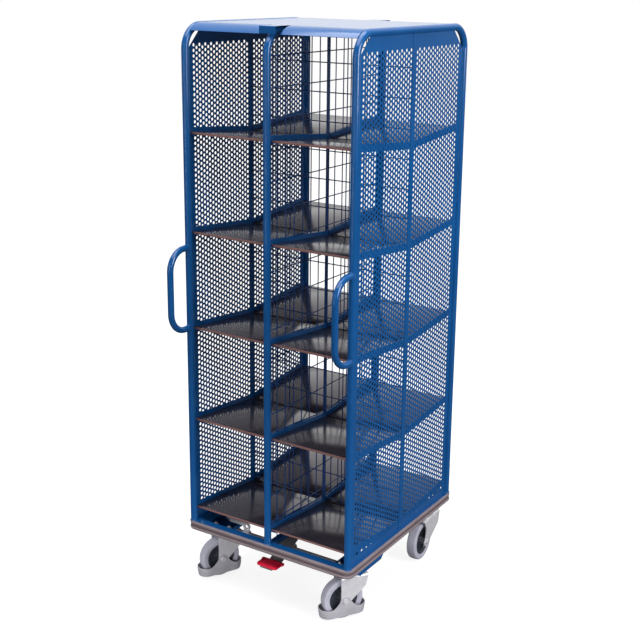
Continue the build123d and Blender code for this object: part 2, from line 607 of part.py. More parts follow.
def shaft_bar(x_low, x_high, diameter):
    """A round bar about the brake shaft's axis."""
    return bar((x_low, FRONT_SWIVEL_Y, SHAFT_Z), (x_high, FRONT_SWIVEL_Y, SHAFT_Z), diameter)


def brake_cam(x):
    """A finger on the shaft that bears on a plunger's head."""
    finger = box((x - CAM_WIDTH / 2, x + CAM_WIDTH / 2), (FRONT_SWIVEL_Y - CAM_LENGTH, FRONT_SWIVEL_Y),
                 (SHAFT_Z - CAM_THICKNESS / 2, SHAFT_Z + CAM_THICKNESS / 2))
    return finger - shaft_bar(x - CAM_WIDTH, x + CAM_WIDTH, SHAFT_DIAMETER)


def brake_lever():
    """The left lever: a collar on the shaft, an eye above it, and an arm out over the bracket."""
    collar_low = COLLAR_GAP - BRACKET_INNER_X
    collar_high = collar_low + COLLAR_LENGTH
    eye_x = (collar_low + collar_high) / 2
    eye_z = SHAFT_Z + LEVER_EYE_RISE
    arm_z = SHAFT_Z + LEVER_ARM_RISE
    arm_end = LEVER_ARM_SHORT - SWIVEL_X
    eye = Pos(eye_x, eye_z) * Circle(LEVER_EYE_DIAMETER / 2)
    neck = Pos(eye_x, (SHAFT_Z + eye_z) / 2) * Rectangle(COLLAR_LENGTH, LEVER_EYE_RISE)
    arm = Pos((eye_x + arm_end) / 2, arm_z) * Rectangle(eye_x - arm_end, LEVER_ARM_HEIGHT)
    arm += Pos(arm_end, arm_z) * Circle(LEVER_ARM_HEIGHT / 2)
    outline = eye + neck + arm - Pos(eye_x, eye_z) * Circle(LEVER_EYE_BORE / 2)
    face = Plane((0, FRONT_SWIVEL_Y + LEVER_THICKNESS / 2, 0), x_dir=(1, 0, 0), z_dir=(0, -1, 0))
    lever = extrude(face * outline, amount=LEVER_THICKNESS)
    lever += shaft_bar(collar_low, collar_high, COLLAR_DIAMETER)
    return lever - shaft_bar(collar_low, collar_high, SHAFT_DIAMETER)


def pedal_arm_piece():
    """The pedal's arm: a bent flat bar with a hub on the shaft."""
    tread_z = SHAFT_Z - PEDAL_FALL
    front_y = FRONT_SWIVEL_Y - PEDAL_REACH
    bend_y = front_y + PAD_LENGTH + PEDAL_THICKNESS
    heel = (FRONT_SWIVEL_Y + PEDAL_HEEL, SHAFT_Z + PEDAL_RISE)
    shaft = Pos(FRONT_SWIVEL_Y, SHAFT_Z)
    outline = trace(Polyline(heel, (bend_y, tread_z), (front_y, tread_z)), PEDAL_THICKNESS)
    outline += shaft * Circle(PEDAL_HUB_DIAMETER / 2)
    outline -= shaft * Circle(SHAFT_RADIUS)
    return upright_slab(outline, -PEDAL_WIDTH / 2, PEDAL_WIDTH / 2)


def pedal_pad_piece():
    """The pad on the pedal's tread, with a tab on each side at its rear."""
    top = SHAFT_Z - PEDAL_FALL + PEDAL_THICKNESS / 2
    front_y = FRONT_SWIVEL_Y - PEDAL_REACH
    outline = Pos(0, front_y + PAD_LENGTH / 2) * RectangleRounded(PAD_WIDTH, PAD_LENGTH, PAD_CORNER)
    tab_y = front_y + PAD_LENGTH - PAD_TAB_LENGTH / 2
    outline += Pos(0, tab_y) * RectangleRounded(PAD_TAB_WIDTH, PAD_TAB_LENGTH, PAD_TAB_CORNER)
    return extrude(Pos(0, 0, top) * outline, amount=PAD_THICKNESS)


# Frame
nodes["left_side_tube"] = bent_frame(-SIDE_X, FRAME_TOP - TUBE_RADIUS)
nodes["right_side_tube"] = bent_frame(SIDE_X, FRAME_TOP - TUBE_RADIUS)
nodes["middle_tube"] = bent_frame(0, MIDDLE_AXIS_Z)
nodes["left_panel"] = side_panel(-1)
nodes["right_panel"] = side_panel(1)
nodes["left_panel_bar"] = panel_bar(-1)
nodes["right_panel_bar"] = panel_bar(1)
nodes["roof"] = roof_sheet()
nodes["left_handle"] = push_handle(-1)
nodes["right_handle"] = push_handle(1)

# Base
ring = base_ring()
nodes["base_front_rail"] = mitred_rail(ring, (0, -1))
nodes["base_rear_rail"] = mitred_rail(ring, (0, 1))
nodes["base_left_rail"] = mitred_rail(ring, (-1, 0))
nodes["base_right_rail"] = mitred_rail(ring, (1, 0))
inner_half = INNER_RAIL_WIDTH / 2
inner_z = (FLANGE_UNDER - INNER_RAIL_HEIGHT, FLANGE_UNDER)
web_x = BASE_HALF_X - RAIL_THICKNESS
web_y = BASE_HALF_Y - RAIL_THICKNESS
nodes["base_middle_rail"] = box((-inner_half, inner_half), (-web_y, web_y), inner_z)
cross_spans = [sorted((side * inner_half, side * web_x)) for side in (-1, 1)]
nodes["base_cross_rails"] = [box(span, (-inner_half, inner_half), inner_z) for span in cross_spans]
nodes["bumper"] = bumper_strip()
nodes["caster_brackets"] = [
    caster_bracket(side, end, swivel_y, inset, nose) for side in (-1, 1)
    for end, swivel_y, inset, nose in ((-1, FRONT_SWIVEL_Y, FRONT_BRACKET_INSET, FRONT_BRACKET_NOSE),
                                       (1, REAR_SWIVEL_Y, REAR_BRACKET_INSET, REAR_BRACKET_NOSE))]

# Shelves and dividers
for level in range(SHELF_LEVELS):
    nodes[f"shelf_{level + 1}"] = shelf_boards(level)
middle_far_y = UPRIGHT_Y - math.sqrt(TUBE_RADIUS ** 2 - MIDDLE_LEG_X ** 2)
nodes["left_shelf_angles"] = shelf_angles(-PANEL_INNER_X, 1, UPRIGHT_INNER_Y)
nodes["right_shelf_angles"] = shelf_angles(PANEL_INNER_X, -1, UPRIGHT_INNER_Y)
nodes["middle_shelf_angles"] = (shelf_angles(-MIDDLE_LEG_X, -1, middle_far_y)
                                + shelf_angles(MIDDLE_LEG_X, 1, middle_far_y))
nodes["center_post"] = bar((0, 0, FLANGE_UNDER), (0, 0, under_middle_tube(0)), POST_DIAMETER)
nodes["front_mesh"] = depth_mesh(-1)
nodes["rear_mesh"] = depth_mesh(1)
nodes["left_mesh"] = cross_mesh(-1)
nodes["right_mesh"] = cross_mesh(1)

# Casters
front_places = [(-SWIVEL_X, FRONT_SWIVEL_Y), (SWIVEL_X, FRONT_SWIVEL_Y)]
rear_places = [(-SWIVEL_X, REAR_SWIVEL_Y), (SWIVEL_X, REAR_SWIVEL_Y)]
nodes["front_caster_heads"] = [caster_head(x, y, True) for x, y in front_places]
nodes["rear_caster_heads"] = [caster_head(x, y, False) for x, y in rear_places]
nodes["king_nuts"] = [king_nut(x, y) for x, y in front_places + rear_places]
front_fork = fork_piece(FRONT_FORK_NOSE, FRONT_FORK_REAR, FRONT_FORK_HEEL_IN, FRONT_FORK_HEEL_Z,
                        FRONT_FORK_HOLLOW)
rear_fork = fork_piece(REAR_FORK_NOSE, REAR_FORK_REAR, REAR_FORK_HEEL_IN, REAR_FORK_HEEL_Z,
                       REAR_FORK_HOLLOW)
guard = guard_piece()
tyre = tyre_piece()
hub = hub_piece()
guarded_axle = axle_piece(FORK_OUTER_X + GUARD_THICKNESS)
plain_axle = axle_piece(FORK_OUTER_X)
casters = [("front_left", front_places[0], FRONT_LEFT_HEADING),
           ("front_right", front_places[1], FRONT_RIGHT_HEADING),
           ("rear_left", rear_places[0], REAR_HEADING),
           ("rear_right", rear_places[1], REAR_HEADING)]
for name, (x, y), heading in casters:
    place = Pos(x, y, 0) * Rot(0, 0, heading)
    guarded = name.startswith("front")
    nodes[f"{name}_fork"] = place * (front_fork if guarded else rear_fork)
    nodes[f"{name}_axle"] = place * (guarded_axle if guarded else plain_axle)
    nodes[f"{name}_tyre"] = place * tyre
    nodes[f"{name}_hub"] = place * hub
    if guarded:
        nodes[f"{name}_guard"] = place * guard

# Central brake
shaft_half = SWIVEL_X + HOUSING_DIAMETER / 2 + SHAFT_END
nodes["brake_shaft"] = shaft_bar(-shaft_half, shaft_half, SHAFT_DIAMETER)
nodes["brake_cams"] = [brake_cam(side * SWIVEL_X) for side in (-1, 1)]
nodes["brake_levers"] = brake_lever()
nodes["pedal_arm"] = pedal_arm_piece()
nodes["pedal_pad"] = pedal_pad_piece()
nodes["left_plunger"] = plunger_piece(-SWIVEL_X)
nodes["right_plunger"] = plunger_piece(SWIVEL_X)

os.makedirs("parts", exist_ok=True)
for name, shape in nodes.items():
    if isinstance(shape, list):
        shape = Compound([solid for piece in shape for solid in piece.solids()])
    export_step(Pos(0, CENTRE_SHIFT, 0) * shape, f"parts/{name}.step")
print(len(nodes), "nodes, plunger travel", round(PLUNGER_TRAVEL, 3), "mm")
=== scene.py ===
# %% [markdown]
# A file trolley, dressed for its picture.
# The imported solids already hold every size, joint and place. This lesson leaves them where they are and
# gives the trolley its looks: smooth bent tubes, perforated side sheets, film-faced boards and
# rolling casters.
# Each new piece is a surface worked out with numpy, put in the same place as the solid that it stands for.

# %% Load the frame
import json
import math

import bmesh
import bpy
import numpy as np
from mathutils import Matrix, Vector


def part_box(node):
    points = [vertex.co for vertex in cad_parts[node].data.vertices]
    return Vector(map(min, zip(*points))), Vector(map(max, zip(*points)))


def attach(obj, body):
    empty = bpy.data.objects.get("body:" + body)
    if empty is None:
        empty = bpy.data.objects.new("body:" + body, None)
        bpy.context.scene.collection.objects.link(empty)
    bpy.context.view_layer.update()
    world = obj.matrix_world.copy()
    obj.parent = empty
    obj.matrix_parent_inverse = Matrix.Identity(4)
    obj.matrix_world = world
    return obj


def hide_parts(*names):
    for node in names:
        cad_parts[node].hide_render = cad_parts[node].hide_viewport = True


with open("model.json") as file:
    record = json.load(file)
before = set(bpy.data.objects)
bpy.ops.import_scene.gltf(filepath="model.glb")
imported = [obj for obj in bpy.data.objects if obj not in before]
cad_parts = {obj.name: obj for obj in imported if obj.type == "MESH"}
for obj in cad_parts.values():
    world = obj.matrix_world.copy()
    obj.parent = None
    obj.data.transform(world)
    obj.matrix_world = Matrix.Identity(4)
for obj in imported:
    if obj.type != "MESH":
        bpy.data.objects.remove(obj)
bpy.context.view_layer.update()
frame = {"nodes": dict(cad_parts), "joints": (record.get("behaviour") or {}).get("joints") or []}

# %% [markdown]
# Places come from the frame.
# A tube's solid tells its radius, its two uprights and its top, so nothing here is fitted by eye.
# Values that a box can't tell, such as a bend radius, are written as real sizes where they are first
# needed.

# %% Read the main places
MM = 0.001


def span(node):
    """A solid's lowest and highest corner as two arrays, in metres."""
    low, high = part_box(node)
    return np.array(low), np.array(high)


side_low, side_high = span("right_side_tube")
TUBE_RADIUS = (side_high[0] - side_low[0]) / 2
SIDE_X = (side_high[0] + side_low[0]) / 2
FRONT_Y = side_low[1] + TUBE_RADIUS
REAR_Y = side_high[1] - TUBE_RADIUS
MIDDLE_Y = (FRONT_Y + REAR_Y) / 2
FOOT_Z = side_low[2]
SIDE_AXIS_Z = side_high[2] - TUBE_RADIUS
print("tube radius", round(TUBE_RADIUS, 4), "sides at x", round(SIDE_X, 4), "uprights at y",
      round(FRONT_Y, 4), round(REAR_Y, 4))

# %% [markdown]
# From arrays to a mesh.
# A shape here is a pair: an array of points and a list of faces that count those points.
# A grid of points becomes quads by joining each point to its neighbours; a loop of points becomes a lid.
# Shapes are stacked into one piece by moving the face numbers up, so a piece can hold many parts.

# %% Shapes as arrays
def points_at(*coordinates):
    """Coordinates, each a number or an array, spread over one common grid and joined into points."""
    return np.stack(np.broadcast_arrays(*coordinates), -1)


def full_turn(steps):
    """Angles in even steps once round."""
    return np.linspace(0, 2 * math.pi, steps, endpoint=False)


def grid_faces(rows, columns, wrap_rows=False, wrap_columns=False):
    """Quads of a grid numbered row by row: each joins a point, its neighbour in the row, and the pair
    in the next row."""
    row, column = np.meshgrid(np.arange(rows if wrap_rows else rows - 1),
                              np.arange(columns if wrap_columns else columns - 1), indexing="ij")
    next_row = (row + 1) % rows
    next_column = (column + 1) % columns
    quads = np.stack([row * columns + column, row * columns + next_column,
                      next_row * columns + next_column, next_row * columns + column], axis=-1)
    return quads.reshape(-1, 4).tolist()


def grid_shape(points, wrap_rows=False, wrap_columns=False, lids=False):
    """A shape from a (rows, columns, 3) array. Lids close the first and last row with one face each."""
    rows, columns = points.shape[:2]
    faces = grid_faces(rows, columns, wrap_rows, wrap_columns)
    if lids:
        faces.append(list(range(columns)))
        faces.append(list(range((rows - 1) * columns, rows * columns)))
    return points.reshape(-1, 3), faces


def stacked(shapes):
    """Several shapes as one: the points follow each other, and each shape's face numbers start after
    the last one's."""
    starts = np.cumsum([0] + [len(points) for points, _ in shapes[:-1]])
    points = np.concatenate([points for points, _ in shapes])
    faces = [[start + number for number in face]
             for start, (_, made) in zip(starts.tolist(), shapes) for face in made]
    return points, faces


def moved(shape, offset):
    """A shape carried by an offset."""
    return shape[0] + np.asarray(offset, float), shape[1]


print("a 3 by 4 grid has", len(grid_faces(3, 4)), "quads")

# %% [markdown]
# From a mesh to a piece of the trolley.
# A new piece gets its material, turns its faces outwards, shades smoothly except over sharp edges,
# rides on the body that carries it and stands for the solids that it covers. Sheets get their thickness
# from Solidify and slabs a soft edge from Bevel; the result is kept as the piece's own mesh, so that the
# sharp edges can be found on the finished form.

# %% Pieces
def settle(piece, crease):
    """Keeps the modifiers' result as the piece's mesh, and marks edges that turn by more than crease
    degrees as sharp."""
    if piece.modifiers:
        graph = bpy.context.evaluated_depsgraph_get()
        finished = bpy.data.meshes.new_from_object(piece.evaluated_get(graph))
        piece.modifiers.clear()
        piece.data = finished
    piece.data.shade_smooth()
    piece.data.set_sharp_from_angle(angle=math.radians(crease))


def put_piece(name, shape, material, body="frame", slot=None, stands_for=(), crease=35.0,
              thickness=0.0, soft_edge=0.0, edge_steps=2):
    """A piece from a shape. A thickness is laid half on each side of a sheet, and a soft edge rounds
    a slab."""
    points, faces = shape
    mesh = bpy.data.meshes.new(name)
    mesh.from_pydata(points.tolist(), [], faces)
    if not thickness:
        work = bmesh.new()
        work.from_mesh(mesh)
        bmesh.ops.recalc_face_normals(work, faces=work.faces)
        work.to_mesh(mesh)
        work.free()
    mesh.materials.append(material)
    piece = bpy.data.objects.new(name, mesh)
    bpy.context.scene.collection.objects.link(piece)
    if thickness:
        wall = piece.modifiers.new("wall", "SOLIDIFY")
        wall.thickness = thickness
        wall.offset = 0.0
    if soft_edge:
        bevel = piece.modifiers.new("soft edge", "BEVEL")
        bevel.width = soft_edge
        bevel.segments = edge_steps
        bevel.limit_method = "ANGLE"
    settle(piece, crease)
    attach(piece, body)
    if stands_for:
        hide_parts(*stands_for)
    print(name, "has", len(piece.data.polygons), "faces")
    return piece


print("solids to dress:", len(frame["nodes"]))

# %% [markdown]
# Shader building blocks.
# A material is a small graph of nodes. These helpers add a node and join its sockets in one line,
# so that each finish below reads as a recipe: what varies, by how much, and which socket it feeds.

# %% Node helpers
def feed(tree, socket, value):
    """Links an output to an input socket, or sets anything else as the input's value."""
    if isinstance(value, bpy.types.NodeSocket):
        tree.links.new(value, socket)
    else:
        socket.default_value = value


def add_node(tree, kind, **inputs):
    """A node with its inputs fed by name."""
    node = tree.nodes.new(kind)
    for name, value in inputs.items():
        feed(tree, node.inputs[name.replace("_", " ")], value)
    return node


def blend_colours(tree, share, first, second):
    """A colour that goes from first to second as share goes from 0 to 1."""
    node = tree.nodes.new("ShaderNodeMix")
    node.data_type = "RGBA"
    for place, value in ((0, share), (6, first), (7, second)):
        feed(tree, node.inputs[place], value)
    return node.outputs[2]


def rescale(tree, value, from_low, from_high, to_low, to_high):
    """A value carried from one span to another and held inside it."""
    node = add_node(tree, "ShaderNodeMapRange", Value=value, From_Min=from_low, From_Max=from_high,
                    To_Min=to_low, To_Max=to_high)
    return node.outputs["Result"]


def arithmetic(tree, operation, first, second=0.0):
    """One Math node."""
    node = tree.nodes.new("ShaderNodeMath")
    node.operation = operation
    for socket, value in zip(node.inputs, (first, second)):
        feed(tree, socket, value)
    return node.outputs[0]


def own_place(tree):
    """A point's place, counted from its object's origin."""
    return tree.nodes.new("ShaderNodeTexCoord").outputs["Object"]


print("materials so far:", len(bpy.data.materials))

# %% Finish helpers
def linear(red, green, blue):
    """A colour as a screen shows it, 0 to 255, turned into the linear light that a shader works in."""
    shown = np.array([red, green, blue]) / 255
    light = np.where(shown <= 0.04045, shown / 12.92, ((shown + 0.055) / 1.055) ** 2.4)
    return (*light.tolist(), 1.0)


def new_finish(name, **settings):
    """A material with one Principled shader whose constant sockets are set by name."""
    material = bpy.data.materials.new(name)
    material.use_nodes = True
    shader = material.node_tree.nodes["Principled BSDF"]
    for socket, value in settings.items():
        shader.inputs[socket.replace("_", " ")].default_value = value
    return material, material.node_tree, shader


def join(tree, output, shader, socket):
    """Links an output to one of the shader's sockets."""
    tree.links.new(output, shader.inputs[socket])


def raise_surface(tree, shader, height, strength, distance):
    """Feeds a height through a Bump node to the shader's normal."""
    bump = add_node(tree, "ShaderNodeBump", Height=height, Strength=strength, Distance=distance)
    join(tree, bump.outputs["Normal"], shader, "Normal")


print("pure white in linear light:", linear(255, 255, 255))

# %% [markdown]
# One shared effect: the grain of a surface.
# Paint, rubber, plastic and plating all vary a little: slow blotches that shift the tone, and a fine grain
# that catches the light. The effect is one node group with named inputs, placed in each finish with its
# own scale. It reads Object coordinates, and every piece sits at the origin, so the grain is the same
# size all over.

# %% The surface grain group
NOISE_SPAN = (0.3, 0.7)
GRAIN_STRENGTH = 0.25


def surface_grain_group():
    """A group with a slow tone and a fine grain height, both 0 to 1."""
    group = bpy.data.node_groups.new("surface_grain", "ShaderNodeTree")
    for name, value in (("Blotch Scale", 6.0), ("Grain Scale", 900.0)):
        socket = group.interface.new_socket(name, in_out="INPUT", socket_type="NodeSocketFloat")
        socket.default_value = value
    for name in ("Tone", "Grain"):
        group.interface.new_socket(name, in_out="OUTPUT", socket_type="NodeSocketFloat")
    given = group.nodes.new("NodeGroupInput")
    result = group.nodes.new("NodeGroupOutput")
    place = own_place(group)
    blotch = add_node(group, "ShaderNodeTexNoise", Vector=place, Scale=given.outputs["Blotch Scale"],
                      Detail=3.0)
    grain = add_node(group, "ShaderNodeTexNoise", Vector=place, Scale=given.outputs["Grain Scale"],
                     Detail=1.0)
    group.links.new(rescale(group, blotch.outputs[0], *NOISE_SPAN, 0.0, 1.0), result.inputs["Tone"])
    group.links.new(grain.outputs[0], result.inputs["Grain"])
    return group


GRAIN = surface_grain_group()


def grain_of(tree, blotch_scale, grain_scale):
    """Places the grain group in a finish and returns its tone and grain outputs."""
    node = tree.nodes.new("ShaderNodeGroup")
    node.node_tree = GRAIN
    node.inputs["Blotch Scale"].default_value = blotch_scale
    node.inputs["Grain Scale"].default_value = grain_scale
    return node.outputs["Tone"], node.outputs["Grain"]


def grained_finish(name, dark, light, blotch_scale, grain_scale, rough, bump, **settings):
    """A finish whose colour and roughness drift between two values, with a fine grain raised by bump
    metres."""
    material, tree, shader = new_finish(name, **settings)
    tone, grain = grain_of(tree, blotch_scale, grain_scale)
    join(tree, blend_colours(tree, tone, dark, light), shader, "Base Color")
    join(tree, rescale(tree, grain, *NOISE_SPAN, *rough), shader, "Roughness")
    raise_surface(tree, shader, grain, GRAIN_STRENGTH, bump)
    return material


print("group sockets:", [item.name for item in GRAIN.interface.items_tree])

# %% [markdown]
# The blue powder coat.
# Baked powder melts into a smooth, thick skin with a faint orange-peel ripple and a semi-gloss shine.
# The colour barely changes, so the ripple and the clear coat's highlights do most of the work.
# The mesh wires and the center post get a duller copy of the powder, whose deeper blue is painted shade.

# %% Blue paint
BLUE_PAINT = grained_finish("blue_paint", linear(14, 76, 135), linear(20, 84, 146), 5.0, 420.0,
                            (0.13, 0.19), 0.03 * MM,
                            Specular_IOR_Level=0.4, Coat_Weight=0.25, Coat_Roughness=0.06)
# painted shade: a darker copy of the blue for the thin wires and the center post
SHADED_WIRE_PAINT = grained_finish("wire_paint", linear(12, 52, 108), linear(16, 60, 120), 5.0, 420.0,
                            (0.30, 0.38), 0.1 * MM, Coat_Weight=0.1, Coat_Roughness=0.2)
print("blue in linear light:", np.round(linear(14, 76, 135), 3).tolist())

# %% [markdown]
# Zinc, dark steel, rubber and plastic.
# Zinc plate is a soft bright metal with a faint mottle; the guards get a rougher copy whose darker colour
# is painted shade.
# The brake's arm is darker, uncoated steel; the shaft gets the same darker finish as painted shade, so
# that it shows as a dark line along the rail.
# The tyres are pale non-marking rubber, the wheel cores and the pad moulded plastic.

# %% Other plain finishes
ZINC = grained_finish("zinc", linear(222, 221, 227), linear(234, 233, 239), 45.0, 700.0,
                      (0.28, 0.36), 0.03 * MM, Metallic=0.3)
# painted shade: a darker, rougher copy of the zinc for the toe guards
SHADED_DULL_ZINC = grained_finish("dull_zinc", linear(198, 196, 205), linear(212, 210, 219), 30.0, 500.0,
                           (0.36, 0.46), 0.05 * MM, Metallic=0.3)
DARK_STEEL_AND_SHAFT_SHADE = grained_finish("dark_steel", linear(108, 107, 110), linear(130, 129, 132), 30.0, 500.0,
                            (0.32, 0.46), 0.08 * MM, Metallic=0.3)
TYRE_RUBBER = grained_finish("tyre_rubber", linear(174, 173, 188), linear(189, 188, 204), 25.0, 600.0,
                             (0.55, 0.7), 0.12 * MM)
HUB_PLASTIC = grained_finish("hub_plastic", linear(44, 48, 58), linear(56, 60, 70), 30.0, 800.0,
                             (0.4, 0.55), 0.05 * MM)
RED_PLASTIC = grained_finish("red_plastic", linear(208, 12, 52), linear(224, 18, 62), 40.0, 900.0,
                             (0.32, 0.44), 0.05 * MM)
print("finishes:", [material.name for material in bpy.data.materials if material.use_nodes])

# %% [markdown]
# Film-faced plywood.
# The boards are birch plywood pressed between brown-black resin films. The film is smooth and shines a
# little; the sawn edges show the reddish plies, but the inner ones in the valley get painted shade that
# turns
# them dark. One material does all: the surface's own normal tells a face from an edge, the distance from
# the valley tells where the painted shade lies, and the height within the board tells one ply from the
# next.

# %% Shelf ply
EDGE_NORMAL, FACE_NORMAL = 0.55, 0.75
VALLEY_SHADE_REACH, VALLEY_SHADE_END = 20 * MM, 40 * MM
PLY_PITCH = 2.8 * MM
FILM_ROUGH, EDGE_ROUGH = 0.17, 0.7


def shelf_ply():
    """Dark film where the surface looks up or down, banded reddish plies where it looks sideways and
    lies outside the painted shade of the valley."""
    material, tree, shader = new_finish("shelf_ply", Specular_IOR_Level=0.75,
                                        Specular_Tint=(1.0, 0.9, 0.97, 1.0))
    tone, grain = grain_of(tree, 9.0, 350.0)
    normal = tree.nodes.new("ShaderNodeNewGeometry").outputs["Normal"]
    upright = add_node(tree, "ShaderNodeSeparateXYZ", Vector=normal).outputs["Z"]
    sideways = rescale(tree, arithmetic(tree, "ABSOLUTE", upright), EDGE_NORMAL, FACE_NORMAL, 1.0, 0.0)
    place = add_node(tree, "ShaderNodeSeparateXYZ", Vector=own_place(tree))
    # painted shade: near the valley, where the boards' edges face each other, the plies turn to the film's
    # dark colour
    from_valley = arithmetic(tree, "ABSOLUTE",
                             arithmetic(tree, "SUBTRACT", place.outputs["Y"], MIDDLE_Y))
    outside_valley_shade = rescale(tree, from_valley, VALLEY_SHADE_REACH, VALLEY_SHADE_END, 0.0, 1.0)
    wave = arithmetic(tree, "MULTIPLY", place.outputs["Z"], 2 * math.pi / PLY_PITCH)
    ply = rescale(tree, arithmetic(tree, "SINE", wave), -1.0, 1.0, 0.0, 1.0)
    film = blend_colours(tree, tone, linear(46, 42, 50), linear(54, 49, 57))
    plies = blend_colours(tree, ply, linear(112, 74, 70), linear(146, 108, 102))
    edge = arithmetic(tree, "MULTIPLY", sideways, outside_valley_shade)
    join(tree, blend_colours(tree, edge, film, plies), shader, "Base Color")
    join(tree, rescale(tree, sideways, 0.0, 1.0, FILM_ROUGH, EDGE_ROUGH), shader, "Roughness")
    raise_surface(tree, shader, grain, 0.2, 0.02 * MM)
    return material


SHELF_PLY = shelf_ply()
print("ply nodes:", len(SHELF_PLY.node_tree.nodes))

# %% [markdown]
# Bent tubes.
# Each frame is one length of steel tube bent twice into an inverted U. The axis is a run of straight lines
# with an arc in each corner; a circle is then carried along it. Because each U lies in an upright plane,
# the circle's two directions are simply X and the direction square to both X and the path.

# %% The tube frames
BEND_RADIUS = 77 * MM
TUBE_SIDES = 36


def unit(vector):
    """A vector of length one."""
    return vector / np.linalg.norm(vector)


def bent_path(corners, radius, steps=14):
    """Corner points joined by lines, each inner corner rounded: an arc's centre lies on the corner's
    bisector, radius / cos(turn / 2) from it, and its points are
    centre + start cos(a) + direction * radius sin(a)."""
    corners = np.asarray(corners, float)
    parts = [corners[:1]]
    for before, corner, after in zip(corners[:-2], corners[1:-1], corners[2:]):
        into, out = unit(corner - before), unit(after - corner)
        turn = math.acos(float(np.clip(into @ out, -1, 1)))
        centre = corner + unit(out - into) * radius / math.cos(turn / 2)
        start = corner - into * radius * math.tan(turn / 2) - centre
        angle = np.linspace(0, turn, steps + 1)[:, None]
        parts.append(centre + start * np.cos(angle) + into * radius * np.sin(angle))
    parts.append(corners[-1:])
    return np.concatenate(parts)


def tube_shape(path, radius, sides=TUBE_SIDES):
    """A circle carried along a path that lies square to X:
    path + radius (cos t X + sin t (tangent x X))."""
    tangent = np.gradient(path, axis=0)
    tangent /= np.linalg.norm(tangent, axis=1, keepdims=True)
    across = np.array([1.0, 0.0, 0.0])
    square = np.cross(tangent, across)[:, None, :]
    angle = full_turn(sides)[None, :, None]
    rings = path[:, None, :] + radius * (np.cos(angle) * across + np.sin(angle) * square)
    return grid_shape(rings, wrap_columns=True, lids=True)


def frame_tube(x, axis_z):
    """The inverted U at one place across the width."""
    corners = [(x, FRONT_Y, FOOT_Z), (x, FRONT_Y, axis_z), (x, REAR_Y, axis_z), (x, REAR_Y, FOOT_Z)]
    return tube_shape(bent_path(corners, BEND_RADIUS), TUBE_RADIUS)


MIDDLE_AXIS_Z = span("middle_tube")[1][2] - TUBE_RADIUS
for node, x, axis_z in (("left_side_tube", -SIDE_X, SIDE_AXIS_Z), ("middle_tube", 0.0, MIDDLE_AXIS_Z),
                        ("right_side_tube", SIDE_X, SIDE_AXIS_Z)):
    put_piece(f"{node}_bent", frame_tube(x, axis_z), BLUE_PAINT, slot="blue_paint",
              stands_for=[node], crease=50)

# %% [markdown]
# Push handles and weld beads.
# A handle is a thinner tube bent into a bow and welded on the front upright. Its two legs end in a saddle
# that fits the upright's curve, so the first and last rings of the surface are slid along the leg
# until each point meets the upright. A bead of weld follows the same saddle line.

# %% Handles with saddle ends
handle_low, handle_high = span("right_handle")
HANDLE_RADIUS = (handle_high[0] - handle_low[0]) / 2
HANDLE_BEND = 70 * MM
GRIP_Y = handle_low[1] + HANDLE_RADIUS
LEG_LOW_Z = handle_low[2] + HANDLE_RADIUS
LEG_HIGH_Z = handle_high[2] - HANDLE_RADIUS
BEAD_RADIUS = 2.2 * MM
BEAD_RIPPLES, BEAD_SWELL = 26, 0.12
BEAD_SIDES = 8
RIPPLE_STEPS = 4


def saddle_y(across):
    """Where a leg meets the upright: its front surface, sqrt(radius^2 - across^2) before its axis."""
    return FRONT_Y - np.sqrt(TUBE_RADIUS ** 2 - across ** 2)


def handle_shape(x):
    """The bow of the handle, with both end rings slid along Y onto the upright."""
    path = bent_path([(x, FRONT_Y, LEG_LOW_Z), (x, GRIP_Y, LEG_LOW_Z), (x, GRIP_Y, LEG_HIGH_Z),
                      (x, FRONT_Y, LEG_HIGH_Z)], HANDLE_BEND)
    points, faces = tube_shape(path, HANDLE_RADIUS)
    rings = points.reshape(len(path), TUBE_SIDES, 3)
    rings[[0, -1], :, 1] = saddle_y(rings[[0, -1], :, 0] - x)
    return rings.reshape(-1, 3), faces


def saddle_bead(x, z):
    """A rippled bead round a leg: a small circle carried along the saddle line, its radius swelling
    in waves."""
    turn = full_turn(RIPPLE_STEPS * BEAD_RIPPLES)[:, None]
    around = full_turn(BEAD_SIDES)[None, :]
    radius = BEAD_RADIUS * (1 + BEAD_SWELL * np.cos(BEAD_RIPPLES * turn))
    out = HANDLE_RADIUS + radius * np.cos(around)
    line = saddle_y(HANDLE_RADIUS * np.cos(turn))
    points = points_at(x + out * np.cos(turn), line + radius * np.sin(around), z + out * np.sin(turn))
    return grid_shape(points, wrap_rows=True, wrap_columns=True)


for node, x in (("left_handle", -SIDE_X), ("right_handle", SIDE_X)):
    beads = [saddle_bead(x, LEG_LOW_Z), saddle_bead(x, LEG_HIGH_Z)]
    put_piece(f"{node}_bow", stacked([handle_shape(x)] + beads), BLUE_PAINT, slot="blue_paint",
              stands_for=[node], crease=50)

# %% Weld beads at the tubes' feet
FILLET_SIZE = 2.6 * MM
FILLET_RIPPLES, FILLET_SWELL = 28, 0.1
FILLET_ROOT = 1.0 * MM


def foot_bead(x, y):
    """A low rippled fillet round a tube's foot: a quarter hollow from the tube's wall out to the base,
    closed by a root inside the wall."""
    turn = full_turn(RIPPLE_STEPS * FILLET_RIPPLES)[:, None]
    rise = np.linspace(0, math.pi / 2, 6)[None, :]
    size = FILLET_SIZE * (1 + FILLET_SWELL * np.cos(FILLET_RIPPLES * turn))
    root = points_at(TUBE_RADIUS - FILLET_ROOT + 0 * turn, FOOT_Z)
    fillet = points_at(TUBE_RADIUS + size * (1 - np.sin(rise)), FOOT_Z + size * (1 - np.cos(rise)))
    out, up = np.moveaxis(np.concatenate([root, fillet], axis=1), -1, 0)
    points = points_at(x + out * np.cos(turn), y + out * np.sin(turn), up)
    return grid_shape(points, wrap_rows=True, wrap_columns=True)


feet = [foot_bead(x, y) for x in (-SIDE_X, 0.0, SIDE_X) for y in (FRONT_Y, REAR_Y)]
put_piece("foot_welds", stacked(feet), BLUE_PAINT, slot="blue_paint", crease=50)

